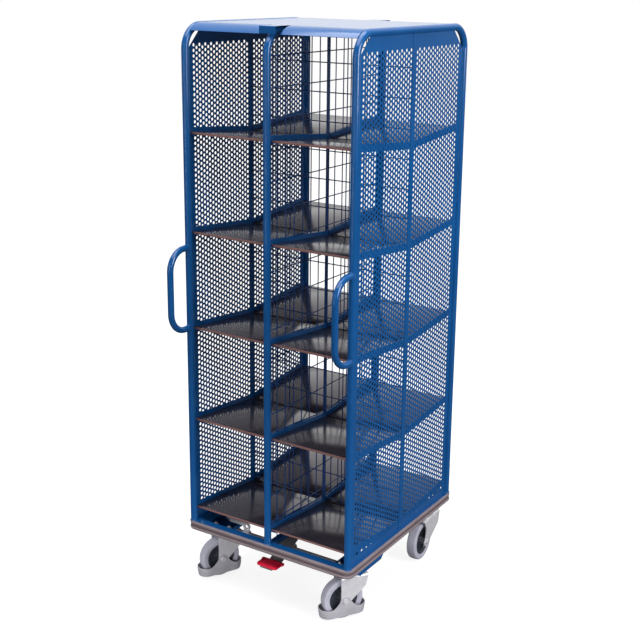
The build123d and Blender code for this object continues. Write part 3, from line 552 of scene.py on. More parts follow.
# %% [markdown]
# Perforated side sheets.
# Each side is closed by sheet steel punched with staggered round holes, two equal sheets that meet behind
# a flat bar. The stagger runs on from one sheet to the next, and the left side is the right one turned
# round. A texture with holes would look flat from the side, so every hole is cut. The sheet is split into
# cells, one hole each; neighbouring columns are shifted by half a cell, so each cell has six corner
# points, its four corners and the middles of its upright sides. Twelve points round the hole join to
# those six in a fixed pattern, and all cells are made at once. Solidify then gives the holes their walls.

# %% Sizes of the punched sheets
HOLE_RADIUS = 5.8 * MM
HOLE_PITCH = 18.05 * MM
COLUMN_PITCH = 15.44 * MM
HOLE_COLUMNS = 20
FIRST_COLUMN = 20.8 * MM
HOLE_ROWS = 93
HOLE_SIDES = 12
LOWEST_HOLE = 31.5 * MM
panel_low, panel_high = span("right_panel")
PANEL_HALF = (panel_high[1] - panel_low[1]) / 2
PANEL_THICKNESS = panel_high[0] - panel_low[0]
PANEL_SHOULDER = SIDE_AXIS_Z - BEND_RADIUS
PANEL_CUT = panel_high[2] - PANEL_SHOULDER
print("holes in one half sheet:", HOLE_COLUMNS * (2 * HOLE_ROWS - 1) // 2)

# %% The rim round the holes
def sheet_rim(columns, z_lines, number, first):
    """Strips from the lattice's border straight out to the sheet's outline. One wider face takes in each
    bend of the outline, and the corners between the strips are closed last."""
    bend_y = PANEL_HALF - PANEL_CUT
    floor = points_at(columns, panel_low[2])
    roof = points_at(columns, np.minimum(panel_high[2], PANEL_SHOULDER + PANEL_HALF - columns))
    outer = points_at(np.minimum(PANEL_HALF, PANEL_HALF - (z_lines - PANEL_SHOULDER)), z_lines)
    inner = points_at(0.0, z_lines)
    extra = np.array([[PANEL_HALF, panel_low[2]], [0.0, panel_low[2]], [0.0, panel_high[2]],
                      [bend_y, panel_high[2]], [PANEL_HALF, PANEL_SHOULDER]])
    parts = [floor, roof, outer, inner, extra]
    f, r, o, i, e = (first + np.cumsum([0] + [len(part) for part in parts[:-1]])).tolist()
    last_column, last_line = len(columns) - 1, len(z_lines) - 1
    bend = int(np.searchsorted(columns, bend_y)) - 1
    shoulder = int(np.searchsorted(z_lines, PANEL_SHOULDER)) - 1
    c, z = np.arange(last_column), np.arange(last_line)
    top, side = c[c != bend], z[z != shoulder]
    strips = [np.stack([f + c, f + c + 1, number[c + 1, 0], number[c, 0]], -1),
              np.stack([number[top, -1], number[top + 1, -1], r + top + 1, r + top], -1),
              np.stack([number[-1, side], o + side, o + side + 1, number[-1, side + 1]], -1),
              np.stack([number[0, z + 1], i + z + 1, i + z, number[0, z]], -1)]
    corners = [[number[bend, -1], number[bend + 1, -1], r + bend + 1, e + 3, r + bend],
               [number[-1, shoulder], o + shoulder, e + 4, o + shoulder + 1, number[-1, shoulder + 1]],
               [f + last_column, e, o, number[-1, 0]],
               [e + 1, f, number[0, 0], i],
               [i + last_line, number[0, -1], r, e + 2],
               [number[-1, -1], o + last_line, r + last_column]]
    faces = np.concatenate(strips).tolist() + [[int(point) for point in face] for face in corners]
    return np.concatenate(parts), faces


print("the slanting cut starts at height", round(PANEL_SHOULDER, 4))

# %% The punched sheets
def cell_faces(first, rings):
    """Faces of hole cells. Corner i of a cell's six joins hole points 2i-1, 2i and 2i+1, then the next
    corner."""
    corner = np.arange(6)
    outer = rings[:, corner]
    after = rings[:, (corner + 1) % 6]
    hole = first + HOLE_SIDES * np.arange(len(rings))[:, None]
    before_point = hole + (2 * corner - 1) % HOLE_SIDES
    middle_point = hole + 2 * corner
    after_point = hole + (2 * corner + 1) % HOLE_SIDES
    triangles = [np.stack([outer, middle_point, before_point], -1),
                 np.stack([outer, after_point, middle_point], -1),
                 np.stack([outer, after, after_point], -1)]
    return np.concatenate([part.reshape(-1, 3) for part in triangles]).tolist()


def punched_half(x, end):
    """Half of a side sheet, from the middle of the depth to one upright: end is -1 to the front and 1 to
    the rear. A hole is punched where column + row is odd, or even on the sheet whose stagger runs on from
    its neighbour's; every other column is a hole short, and a quad fills each of its ends."""
    lines = 2 * HOLE_ROWS + 1
    stagger = int(x * end > 0)
    z_lines = panel_low[2] + LOWEST_HOLE + HOLE_PITCH / 2 * (np.arange(lines) - 1)
    columns = FIRST_COLUMN + COLUMN_PITCH * (np.arange(HOLE_COLUMNS + 1) - 0.5)
    lattice = points_at(columns[:, None], z_lines).reshape(-1, 2)
    number = np.arange(len(lattice)).reshape(HOLE_COLUMNS + 1, lines)
    c, z = np.nonzero((np.arange(HOLE_COLUMNS)[:, None] + np.arange(lines - 2)) % 2 == stagger)
    rings = np.stack([number[c + 1, z + 1], number[c + 1, z + 2], number[c, z + 2],
                      number[c, z + 1], number[c, z], number[c + 1, z]], -1)
    angle = full_turn(HOLE_SIDES)
    centre = points_at((columns[c] + columns[c + 1]) / 2, z_lines[z + 1])
    circles = centre[:, None, :] + HOLE_RADIUS * points_at(np.cos(angle), np.sin(angle))
    faces = cell_faces(len(lattice), rings)
    short = np.arange(1 - stagger, HOLE_COLUMNS, 2)
    for low in (0, lines - 2):
        quads = [number[short, low], number[short + 1, low], number[short + 1, low + 1],
                 number[short, low + 1]]
        faces += np.stack(quads, -1).tolist()
    rim_points, rim_faces = sheet_rim(columns, z_lines, number, len(lattice) + circles.size // 2)
    flat = np.concatenate([lattice, circles.reshape(-1, 2), rim_points])
    return points_at(x, MIDDLE_Y + end * flat[:, 0], flat[:, 1]), faces + rim_faces


for side, x in (("left", -SIDE_X), ("right", SIDE_X)):
    for half, end in (("front", -1), ("rear", 1)):
        put_piece(f"{side}_{half}_punched_sheet", punched_half(x, end), BLUE_PAINT, slot="blue_paint",
                  stands_for=[f"{side}_panel"], thickness=PANEL_THICKNESS)

# %% [markdown]
# The roof sheet.
# The roof is one sheet: flat over the trolley, its front and rear edges rolled round the tubes' bends,
# with a tongue folded down over each end of the middle tube. Seen along X it is a line with arcs,
# so each strip of the sheet is that line carried across X.

# %% Roof lines
ROOF_LIP = math.radians(45)
LIP_STEPS = 12
TONGUE_REACH = 75 * MM
TONGUE_DROP = 24 * MM
TONGUE_FOLD = 3 * MM
FOLD_STEPS = 6
FOLD_MARGIN = 0.5 * MM
ROOF_THICKNESS = 1.5 * MM
roof_low, roof_high = span("roof")
ROOF_Z = roof_high[2] - ROOF_THICKNESS / 2
ROOF_BEND_Y = (REAR_Y - FRONT_Y) / 2 - BEND_RADIUS
LIP_RADIUS = ROOF_Z - (SIDE_AXIS_Z - BEND_RADIUS)


def lip_line(end):
    """A rolled lip: a point at angle a is the bend's centre + radius (sin a outwards, cos a up)."""
    angle = np.linspace(0, ROOF_LIP, LIP_STEPS)
    return points_at(end * (ROOF_BEND_Y + LIP_RADIUS * np.sin(angle)),
                     ROOF_Z - LIP_RADIUS + LIP_RADIUS * np.cos(angle))


def tongue_line(end):
    """A tongue: straight out from the roof's edge, then folded down round a small arc. A point close to
    each end of the arc keeps the flat parts' shading flat."""
    angle = np.linspace(0, math.pi / 2, FOLD_STEPS)
    fold_y = ROOF_BEND_Y + TONGUE_REACH - ROOF_THICKNESS / 2 - TONGUE_FOLD * (1 - np.sin(angle))
    fold_z = ROOF_Z - TONGUE_FOLD * (1 - np.cos(angle))
    start = [(ROOF_BEND_Y, ROOF_Z), (fold_y[0] - FOLD_MARGIN, ROOF_Z)]
    tip = [(fold_y[-1], fold_z[-1] - FOLD_MARGIN),
           (fold_y[-1], ROOF_Z - TONGUE_DROP + ROOF_THICKNESS / 2)]
    return np.concatenate([start, points_at(fold_y, fold_z), tip]) * np.array([end, 1])


print("lip radius", round(LIP_RADIUS, 4), "and flat depth", round(2 * ROOF_BEND_Y, 4))

# %% Roof sheet
TONGUE_HALF = 31 * MM
NOTCH_HALF = 41 * MM


def strip(line, x_low, x_high):
    """A line in depth and height, carried from one place across the width to another."""
    x = np.array([x_low, x_high])[:, None]
    return grid_shape(points_at(x, MIDDLE_Y + line[:, 0], line[:, 1]))


def welded(shape, reach=0.01 * MM):
    """A shape whose points that lie on the same spot are made one."""
    points, faces = shape
    spots, number = np.unique(np.round(points / reach).astype(np.int64), axis=0, return_inverse=True)
    number = number.ravel().tolist()
    return spots * reach, [[number[n] for n in face] for face in faces]


flat_line = np.array([[-ROOF_BEND_Y, ROOF_Z], [ROOF_BEND_Y, ROOF_Z]])
across = [roof_low[0], -NOTCH_HALF, -TONGUE_HALF, TONGUE_HALF, NOTCH_HALF, roof_high[0]]
strips = [strip(flat_line, *pair) for pair in zip(across[:-1], across[1:])]
for end in (-1, 1):
    strips += [strip(lip_line(end), *across[:2]), strip(lip_line(end), *across[-2:])]
    strips.append(strip(tongue_line(end), -TONGUE_HALF, TONGUE_HALF))
put_piece("roof_sheet", welded(stacked(strips)), BLUE_PAINT, slot="blue_paint", stands_for=["roof"],
          thickness=ROOF_THICKNESS)

# %% [markdown]
# The bumper strip.
# A rubber profile runs all round the base. Its section is a loop of points: flat at the back,
# two rounded lands in front with a shallow groove between them. The loop is carried round a rectangle with
# rounded corners, along the outward direction of each point of that path. The rubber is grey-brown, with
# painted shade that darkens it in the groove; the height above the floor tells where the groove is.

# %% Bumper section
bumper_low, bumper_high = span("bumper")
BUMPER_HEIGHT = bumper_high[2] - bumper_low[2]
BUMPER_THICKNESS = 7 * MM
BASE_CORNER = 24 * MM
LAND_ROUND = 4.5 * MM
LAND_SHARE = 0.37
LAND_STEPS = 9
GROOVE_DEPTH = 2.2 * MM
GROOVE_WALL = 0.6 * MM


def bumper_section(height):
    """The section as reach from the base and height: each land is a half round of its own width, joined
    by the groove."""
    land = LAND_SHARE * height
    groove = BUMPER_THICKNESS - GROOVE_DEPTH
    rise = np.linspace(-math.pi / 2, math.pi / 2, LAND_STEPS)
    reach = BUMPER_THICKNESS - LAND_ROUND + LAND_ROUND * np.cos(rise)
    swell = land / 2 * (1 + np.sin(rise))
    low = points_at(reach, swell)
    high = points_at(reach, height - land + swell)
    low[-1, 0] = high[0, 0] = groove
    middle = points_at(groove, [land + GROOVE_WALL, height - land - GROOVE_WALL])
    back = np.array([[0.0, height], [0.0, 0.0]])
    return np.concatenate([low, middle, high, back])


def rounded_rectangle(half_x, half_y, radius, steps=12):
    """Points and outward directions round a rectangle with arcs for corners: a corner's centre +
    radius (cos, sin)."""
    quarter = np.linspace(0, math.pi / 2, steps)
    angle = (np.arange(4)[:, None] * math.pi / 2 + quarter).ravel()
    out = points_at(np.cos(angle), np.sin(angle))
    corner = np.array([[1, 1], [-1, 1], [-1, -1], [1, -1]]).repeat(steps, axis=0)
    return corner * np.array([half_x - radius, half_y - radius]) + radius * out, out


section = bumper_section(BUMPER_HEIGHT)
print("bumper section:", len(section), "points over", round(BUMPER_HEIGHT, 4), "m")

# %% Bumper strip
GROOVE_SHADE_FADE = (0.6, 1.6)


def bumper_rubber(height, half_groove):
    """Rubber with painted shade: its colour goes from pale to dark as the distance from the groove's
    height falls.
    """
    material, tree, shader = new_finish("bumper_rubber")
    tone, grain = grain_of(tree, 12.0, 500.0)
    level = add_node(tree, "ShaderNodeSeparateXYZ", Vector=own_place(tree)).outputs["Z"]
    away = arithmetic(tree, "ABSOLUTE", arithmetic(tree, "SUBTRACT", level, height))
    # painted shade: the rubber darkens towards the middle height of the groove
    groove = rescale(tree, away, *(share * half_groove for share in GROOVE_SHADE_FADE), 1.0, 0.0)
    plain = blend_colours(tree, tone, linear(122, 110, 115), linear(136, 124, 129))
    join(tree, blend_colours(tree, groove, plain, linear(97, 82, 88)), shader, "Base Color")
    join(tree, rescale(tree, grain, *NOISE_SPAN, 0.5, 0.65), shader, "Roughness")
    raise_surface(tree, shader, grain, GRAIN_STRENGTH, 0.15 * MM)
    return material


middle = (bumper_low + bumper_high) / 2
half = (bumper_high - bumper_low) / 2 - BUMPER_THICKNESS
line, out = rounded_rectangle(half[0], half[1], BASE_CORNER)
ring = line[:, None, :] + out[:, None, :] * section[None, :, :1] + middle[:2]
ring = points_at(ring[..., 0], ring[..., 1], bumper_low[2] + section[:, 1])
rubber = bumper_rubber(float(middle[2]), float((0.5 - LAND_SHARE) * BUMPER_HEIGHT))
put_piece("bumper_strip", grid_shape(ring, wrap_rows=True, wrap_columns=True), rubber,
          slot="bumper_rubber", stands_for=["bumper"], crease=50)

# %% [markdown]
# Shelf boards.
# At each level four boards lie in angle rails and fall towards the middle of the depth. A board is a
# rectangle carried down the slope with plumb ends, and Bevel takes the sharpness off its sawn edges.

# %% Boards
SHELF_LEVELS = 5
BOARD_THICKNESS = 8 * MM
BOARD_EDGE = 0.8 * MM
VALLEY_HALF = 6 * MM
BOARD_INNER_X = 7 * MM
SHELF_TILT = math.radians(5)


def board(side, end, low, high):
    """One board: its outer edge is at the top of the node's box, and it falls with the tangent of the
    tilt."""
    x = side * np.array([BOARD_INNER_X, high[0]])
    outer_y = (high[1] - low[1]) / 2
    top = np.array([high[2], high[2] - (outer_y - VALLEY_HALF) * math.tan(SHELF_TILT)])
    y = MIDDLE_Y + end * np.array([outer_y, VALLEY_HALF])
    loop_x = x[[0, 1, 1, 0]]
    loop_drop = BOARD_THICKNESS * np.array([0, 0, 1, 1])
    points = points_at(loop_x, y[:, None], top[:, None] - loop_drop)
    return grid_shape(points, wrap_columns=True, lids=True)


for level in range(1, SHELF_LEVELS + 1):
    low, high = span(f"shelf_{level}")
    boards = [board(side, end, low, high) for side in (-1, 1) for end in (-1, 1)]
    put_piece(f"shelf_{level}_boards", stacked(boards), SHELF_PLY, slot="shelf_ply",
              stands_for=[f"shelf_{level}"], soft_edge=BOARD_EDGE)

# %% [markdown]
# Wire mesh dividers.
# Straight wires cross in two layers and are welded where they touch. All the wires of a mesh are made
# together: an array of starts and ends, and one ring of points at each end, closed by a lid.

# %% Wires
WIRE_RADIUS = 2 * MM
WIRE_SIDES = 10
ROW_PITCH = 100 * MM
DEPTH_PITCH = 50 * MM
CROSS_PITCH = 77.5 * MM
DEPTH_FIRST_ROW = 77 * MM
CROSS_FIRST_ROW = 37 * MM
MESH_MARGIN = 20 * MM
POST_RADIUS = 6 * MM


def wires(starts, ends):
    """Round wires from arrays of starts and ends, each two rings of points with a lid at both ends."""
    along = (ends - starts) / np.linalg.norm(ends - starts, axis=1, keepdims=True)
    helper = np.where(np.abs(along[:, 2:]) > 0.5, [[1.0, 0.0, 0.0]], [[0.0, 0.0, 1.0]])
    first = np.cross(along, helper)
    second = np.cross(along, first)
    angle = full_turn(WIRE_SIDES)[None, :, None]
    ring = WIRE_RADIUS * (np.cos(angle) * first[:, None, :] + np.sin(angle) * second[:, None, :])
    rings = np.stack([starts[:, None, :] + ring, ends[:, None, :] + ring], 1)
    return stacked([grid_shape(pair, wrap_columns=True, lids=True) for pair in rings])


def wire_places(reach, pitch):
    """Distances of upright wires from the center post: whole pitches that keep the margin."""
    return pitch * np.arange(1, int((reach - MESH_MARGIN) // pitch) + 1)


def mesh_rows(low_z, high_z, first_row):
    """Heights of a mesh's level wires, from the base upwards."""
    return np.arange(low_z + first_row, high_z - MESH_MARGIN, ROW_PITCH)


def under_bend(depth):
    """Height of the middle tube's underside at a depth from the middle: straight, then round the inside
    of the bend."""
    inner = BEND_RADIUS - TUBE_RADIUS
    into = np.clip(depth - ROOF_BEND_Y, 0, inner)
    return MIDDLE_AXIS_Z - BEND_RADIUS + np.sqrt(inner ** 2 - into ** 2)


print("the middle tube's underside is at", round(float(under_bend(0.0)), 4))

# %% Dividers
def depth_mesh(node, end):
    """The mesh along the depth: upright wires in one layer and level wires in the other."""
    low, high = span(node)
    reach = (REAR_Y - FRONT_Y) / 2 - TUBE_RADIUS
    depth = wire_places(reach, DEPTH_PITCH)
    y = MIDDLE_Y + end * depth
    z = mesh_rows(low[2], high[2], DEPTH_FIRST_ROW)
    uprights = wires(points_at(-WIRE_RADIUS, y, low[2]),
                     points_at(-WIRE_RADIUS, y, under_bend(depth + WIRE_RADIUS)))
    levels = wires(points_at(WIRE_RADIUS, MIDDLE_Y + end * POST_RADIUS, z),
                   points_at(WIRE_RADIUS, MIDDLE_Y + end * reach, z))
    return stacked([uprights, levels])


def cross_mesh(node, side):
    """The mesh across the width, built the same way."""
    low, high = span(node)
    reach = SIDE_X - PANEL_THICKNESS / 2
    x = side * wire_places(reach, CROSS_PITCH)
    z = mesh_rows(low[2], high[2], CROSS_FIRST_ROW)
    uprights = wires(points_at(x, MIDDLE_Y - WIRE_RADIUS, low[2]),
                     points_at(x, MIDDLE_Y - WIRE_RADIUS, high[2]))
    levels = wires(points_at(side * POST_RADIUS, MIDDLE_Y + WIRE_RADIUS, z),
                   points_at(side * reach, MIDDLE_Y + WIRE_RADIUS, z))
    return stacked([uprights, levels])


for node, mesh_of, side in (("front_mesh", depth_mesh, -1), ("rear_mesh", depth_mesh, 1),
                            ("left_mesh", cross_mesh, -1), ("right_mesh", cross_mesh, 1)):
    put_piece(f"{node}_wires", mesh_of(node, side), SHADED_WIRE_PAINT, slot="blue_paint",
              stands_for=[node], crease=60)

# %% [markdown]
# Where each caster stands.
# A caster turns about its swivel, with its wheel trailing behind. The joints tell the swivel axes and the
# wheel centres, and the line between them gives the heading. Caster pieces are shaped about their own
# swivel, with the wheel trailing to -Y, and then turned and moved into place.

# %% Caster places
JOINTS = {joint["name"]: joint for joint in frame["joints"]}
FRONT_CORNERS = ("front_left", "front_right")
CORNERS = FRONT_CORNERS + ("rear_left", "rear_right")
AXLE_Z = span("front_left_tyre")[1][2] / 2
CASTER_TRAIL = 41 * MM


def caster_turn(corner):
    """A caster's swivel point and heading: the heading turns (0, -1) to the line from swivel to wheel."""
    swivel = np.array(JOINTS[f"{corner}_swivel_turn"]["pos_m"][:2])
    wheel = np.array(JOINTS[f"{corner}_wheel_turn"]["pos_m"][:2])
    line = wheel - swivel
    return swivel, math.atan2(line[0], -line[1])


def at_caster(shape, corner):
    """A shape made about a swivel, turned to a caster's heading and moved to its place."""
    swivel, heading = caster_turn(corner)
    cos, sin = math.cos(heading), math.sin(heading)
    turn = np.array([[cos, -sin, 0], [sin, cos, 0], [0, 0, 1]])
    return shape[0] @ turn.T + np.array([*swivel, 0]), shape[1]


def put_on_caster(corner, name, shape, material, slot, moves="swivel", stands_for=(), **finish):
    """A caster's piece in its place, riding on the caster's swivel or on its wheel."""
    return put_piece(f"{corner}_{name}", at_caster(shape, corner), material, body=f"{corner}_{moves}",
                     slot=slot, stands_for=[f"{corner}_{node}" for node in stands_for], **finish)


for corner in CORNERS:
    print(corner, "swivel", np.round(caster_turn(corner)[0], 4).tolist(), "heading",
          round(math.degrees(caster_turn(corner)[1]), 1))

# %% [markdown]
# Tyres and wheel cores.
# A wheel piece is a closed profile, in the axle's direction and in radius, turned about the axle. The tyre
# has a slightly crowned tread and round shoulders; the core is a dished disc with a rim, a boss and ribs.

# %% Wheel profiles
TYRE_HALF = 18.5 * MM
TYRE_SHOULDER = 7 * MM
HUB_RADIUS = 53 * MM
HUB_BOSS_HALF = 28.5 * MM
BORE_RADIUS = 5.05 * MM
WHEEL_SIDES = 72


def tyre_profile(steps=8):
    """Half of the tread from its middle: a shallow crown, a round shoulder, a side wall; then the same
    mirrored."""
    angle = np.linspace(math.pi / 2, 0, steps)
    crown = np.array([[0.0, AXLE_Z], [6 * MM, AXLE_Z - 0.15 * MM]])
    corner = points_at(TYRE_HALF - TYRE_SHOULDER + TYRE_SHOULDER * np.cos(angle),
                       AXLE_Z - 0.6 * MM - TYRE_SHOULDER + TYRE_SHOULDER * np.sin(angle))
    wall = np.array([[TYRE_HALF - 0.6 * MM, HUB_RADIUS + 6 * MM],
                     [TYRE_HALF - 2.2 * MM, HUB_RADIUS + 3 * MM], [TYRE_HALF - 2.6 * MM, HUB_RADIUS]])
    right = np.concatenate([crown, corner, wall])
    return np.concatenate([right, (right * [-1, 1])[:0:-1]])


def core_profile():
    """The core from its bore: boss, dished web and rim on one side, then mirrored."""
    boss = [[HUB_BOSS_HALF, BORE_RADIUS], [HUB_BOSS_HALF, 13 * MM], [HUB_BOSS_HALF - 1.5 * MM, 15 * MM],
            [12 * MM, 18 * MM], [9 * MM, 20 * MM]]
    web = [[8 * MM, 23 * MM], [8 * MM, 41 * MM]]
    rim = [[9 * MM, 43 * MM], [14.5 * MM, 45.5 * MM], [15.5 * MM, 47 * MM], [15.5 * MM, HUB_RADIUS]]
    right = np.array(boss + web + rim)
    return np.concatenate([right, (right * [-1, 1])[::-1]])


print("tyre profile:", len(tyre_profile()), "points; core profile:", len(core_profile()), "points")

# %% Wheels
RIB_COUNT = 10
RIB_HALF = 1.2 * MM
RIB_LOOP = np.array([[5.0, 17.0], [14.0, 17.0], [12.5, 47.0], [5.0, 47.0]]) * MM


def turned(profile):
    """A closed profile of (place along the axle, radius) turned about the axle behind the swivel."""
    angle = full_turn(WHEEL_SIDES)[:, None]
    along, radius = profile.T
    points = points_at(along, -CASTER_TRAIL + radius * np.cos(angle), AXLE_Z + radius * np.sin(angle))
    return grid_shape(points, wrap_rows=True, wrap_columns=True)


def core_ribs():
    """Thin ribs across the dish on both sides, each a slab turned to its own angle."""
    ribs = []
    for side in (-1, 1):
        for angle in full_turn(RIB_COUNT):
            out = np.array([0, math.cos(angle), math.sin(angle)])
            beside = RIB_HALF * np.array([0, -math.sin(angle), math.cos(angle)])
            flat = side * RIB_LOOP[:, :1] * np.array([1.0, 0, 0]) + RIB_LOOP[:, 1:] * out
            slab = grid_shape(np.stack([flat - beside, flat + beside]), wrap_columns=True, lids=True)
            ribs.append(moved(slab, (0, -CASTER_TRAIL, AXLE_Z)))
    return ribs


tyre = turned(tyre_profile())
core = stacked([turned(core_profile())] + core_ribs())
for corner in CORNERS:
    put_on_caster(corner, "moulded_tyre", tyre, TYRE_RUBBER, "tyre_rubber", "wheel", ["tyre"], crease=50)
    put_on_caster(corner, "wheel_core", core, HUB_PLASTIC, "hub_plastic", "wheel", ["hub"], crease=40)

# %% [markdown]
# Pressed forks.
# A fork is one pressing: a crown with two legs bent down, rounded at the shoulders. Cut square across its
# length it is a U. At each height a leg runs from a front edge to a rear edge, so the surface has two
# parameters: the place round the U, which sets the height, and the share of the way from one edge to the
# other. The front pair has a straight front edge; the rear pair is longer and hollow in front. Solidify
# gives the thickness.

# %% Fork edges
FORK_GAP = 58 * MM
FORK_SHEET = 3.5 * MM
FORK_BOSS = 18 * MM
FORK_SHOULDER = 7 * MM
FORK_HEEL_ROUND = 12 * MM
BOSS_LOW = 80
BOSS_REAR = 45
CROWN_TOP = 164 * MM
FRONT_FORK = {"nose": 16 * MM, "rear": 46 * MM, "heel_in": 9 * MM, "heel_z": 122 * MM, "hollow": 0.0}
REAR_FORK = {"nose": 22 * MM, "rear": 76 * MM, "heel_in": 13.5 * MM, "heel_z": 112 * MM,
             "hollow": 17 * MM}


def boss_arc(low, high, steps=10):
    """Points on the round end of a leg, from one angle in degrees to another, as (depth, height)."""
    angle = np.radians(np.linspace(low, high, steps))
    return points_at(FORK_BOSS * np.cos(angle) - CASTER_TRAIL, FORK_BOSS * np.sin(angle) + AXLE_Z)


def rear_edge(rear, heel_in, heel_z):
    """The leg's rear edge from the boss up: round under the axle, a slant, a rounded heel, then up to the
    crown."""
    boss = boss_arc(-BOSS_LOW, -BOSS_REAR)
    corners = [(0, *boss[-1]), (0, rear - heel_in, heel_z), (0, rear, CROWN_TOP)]
    return np.concatenate([boss, bent_path(corners, FORK_HEEL_ROUND)[1:, 1:]])


def front_edge(nose, hollow, steps=16):
    """The leg's front edge from the boss up: round, then straight or along a hollow bow to the crown's
    nose."""
    turn = math.degrees(math.acos(-min(nose / FORK_BOSS, 1.0)))
    boss = boss_arc(BOSS_LOW - 180, turn - 360)
    share = np.linspace(0, 1, steps)[1:, None]
    line = boss[-1] + (np.array([-CASTER_TRAIL - nose, CROWN_TOP]) - boss[-1]) * share
    line[:, :1] += 4 * hollow * share * (1 - share)
    return np.concatenate([boss, line])


print("a leg's boss reaches down to", round(AXLE_Z - FORK_BOSS, 4))

# %% Forks
LEG_STEPS, SHOULDER_STEPS, DEPTH_STEPS = 30, 6, 14
LEG_CROWDING = 1.4
CROWN_DISC = 38 * MM
DISC_HALF = 2.0 * MM


def fork_shape(nose, rear, heel_in, heel_z, hollow):
    """Heights run up one leg, crowded towards its boss, round a quarter arc and over the crown, then back
    down; depth is the share between the edges."""
    wall = FORK_GAP / 2 + FORK_SHEET / 2
    crown_z = CROWN_TOP - FORK_SHEET / 2
    low_z = AXLE_Z - FORK_BOSS * math.sin(math.radians(BOSS_LOW))
    leg_z = low_z + (crown_z - FORK_SHOULDER - low_z) * np.linspace(0, 1, LEG_STEPS) ** LEG_CROWDING
    angle = np.linspace(0, math.pi / 2, SHOULDER_STEPS)[1:]
    x = np.concatenate([np.full(LEG_STEPS, wall), wall - FORK_SHOULDER + FORK_SHOULDER * np.cos(angle)])
    z = np.concatenate([leg_z, crown_z - FORK_SHOULDER + FORK_SHOULDER * np.sin(angle)])
    x, z = np.concatenate([x, -x[::-1]])[:, None], np.concatenate([z, z[::-1]])[:, None]
    back_y, back_z = rear_edge(rear, heel_in, heel_z).T
    fore_y, fore_z = front_edge(nose, hollow).T
    fore, back = np.interp(z, fore_z, fore_y), np.interp(z, back_z, back_y)
    share = np.linspace(0, 1, DEPTH_STEPS)[None, :]
    return grid_shape(points_at(x, fore + (back - fore) * share, z))


def crown_disc(steps=7):
    """The round seat of the swivel bearing on the crown: a low disc with a rounded rim, turned about the
    swivel."""
    turn = full_turn(WHEEL_SIDES)[None, :]
    rim = np.linspace(-math.pi / 2, math.pi / 2, steps)[:, None]
    radius = CROWN_DISC - DISC_HALF + DISC_HALF * np.cos(rim)
    z = CROWN_TOP - DISC_HALF + DISC_HALF * np.sin(rim)
    return grid_shape(points_at(radius * np.cos(turn), radius * np.sin(turn), z),
                      wrap_columns=True, lids=True)


for corner in CORNERS:
    sizes = FRONT_FORK if corner in FRONT_CORNERS else REAR_FORK
    put_on_caster(corner, "pressed_fork", fork_shape(**sizes), ZINC, "zinc", stands_for=["fork"],
                  thickness=FORK_SHEET, crease=40)
    put_on_caster(corner, "crown_disc", crown_disc(), ZINC, "zinc", crease=50)

# %% [markdown]
# Toe guards.
# The front wheels carry a guard like a small open boat: a low wall round the wheel, tucked in at its lower
# edge, with an ear on each side that reaches up to the axle. Round the wall runs one parameter and up the
# wall the other; the ears are only a taller wall beside the axle.

# %% Guards
GUARD_HALF = 87 * MM
GUARD_SHEET = 2.5 * MM
GUARD_LOW = 14 * MM
GUARD_HIGH = 48 * MM
EAR_HALF = 56 * MM
GUARD_TUCK = 5 * MM
TUCK_CURVE = 1.5
RUN_STEPS, END_STEPS, WALL_STEPS = 33, 20, 12


def guard_top(beside):
    """The wall's top edge: round over the axle, hollow flanks down to the plain wall, then level."""
    top = FORK_BOSS * math.sqrt(0.5)
    boss = AXLE_Z + np.sqrt(np.maximum(FORK_BOSS ** 2 - np.minimum(beside, top) ** 2, 0))
    share = np.clip((beside - top) / (EAR_HALF - top), 0, 1)
    return np.where(beside <= top, boss, GUARD_HIGH + (AXLE_Z + top - GUARD_HIGH) * (1 - share) ** 2)


def guard_shape():
    """A wall round a slot-shaped path: straight beside the wheel, half round at both ends, tucked in
    below."""
    wall = FORK_GAP / 2 + FORK_SHEET + GUARD_SHEET / 2
    run = GUARD_HALF - GUARD_SHEET / 2 - wall
    straight = points_at(wall, np.linspace(-run, run, RUN_STEPS))
    arc = np.linspace(0, math.pi, END_STEPS)[1:-1]
    half_round = points_at(wall * np.cos(arc), run + wall * np.sin(arc))
    path = np.concatenate([straight, half_round, -straight, -half_round])
    core_line = points_at(0.0, np.clip(path[:, 1], -run, run))
    out = (path - core_line) / wall
    beside_wheel = np.abs(np.abs(path[:, 0]) - wall) < 1e-6
    top = np.where(beside_wheel, guard_top(np.abs(path[:, 1])), GUARD_HIGH)[:, None]
    low = GUARD_LOW + GUARD_SHEET / 2
    z = low + (top - low) * np.linspace(0, 1, WALL_STEPS)
    tuck = GUARD_TUCK * np.clip((GUARD_HIGH - z) / (GUARD_HIGH - GUARD_LOW), 0, 1) ** TUCK_CURVE
    flat = path[:, None, :] - out[:, None, :] * tuck[..., None]
    return grid_shape(points_at(flat[..., 0], flat[..., 1] - CASTER_TRAIL, z), wrap_rows=True)


guard = guard_shape()
for corner in FRONT_CORNERS:
    put_on_caster(corner, "toe_guard", guard, SHADED_DULL_ZINC, "zinc", stands_for=["guard"],
                  thickness=GUARD_SHEET, crease=40)

# %% [markdown]
# Axles and bolts.
# An axle is a bolt with a hexagon and a washer at each end. A hexagon's radius at an angle is its flat's
# distance over the cosine of the angle from that flat, held within a circle towards the top for the
# turned chamfer.

# %% Hexagons and axles
AXLE_RADIUS = 5 * MM
AXLE_SIDES = 24
AXLE_HEAD = {"flat": 8.5 * MM, "height": 5 * MM, "washer": 9.6 * MM, "washer_height": 1 * MM}
HEX_SIDES = 36
CHAMFER_WIDTH, CHAMFER_START = 1.1, 0.75


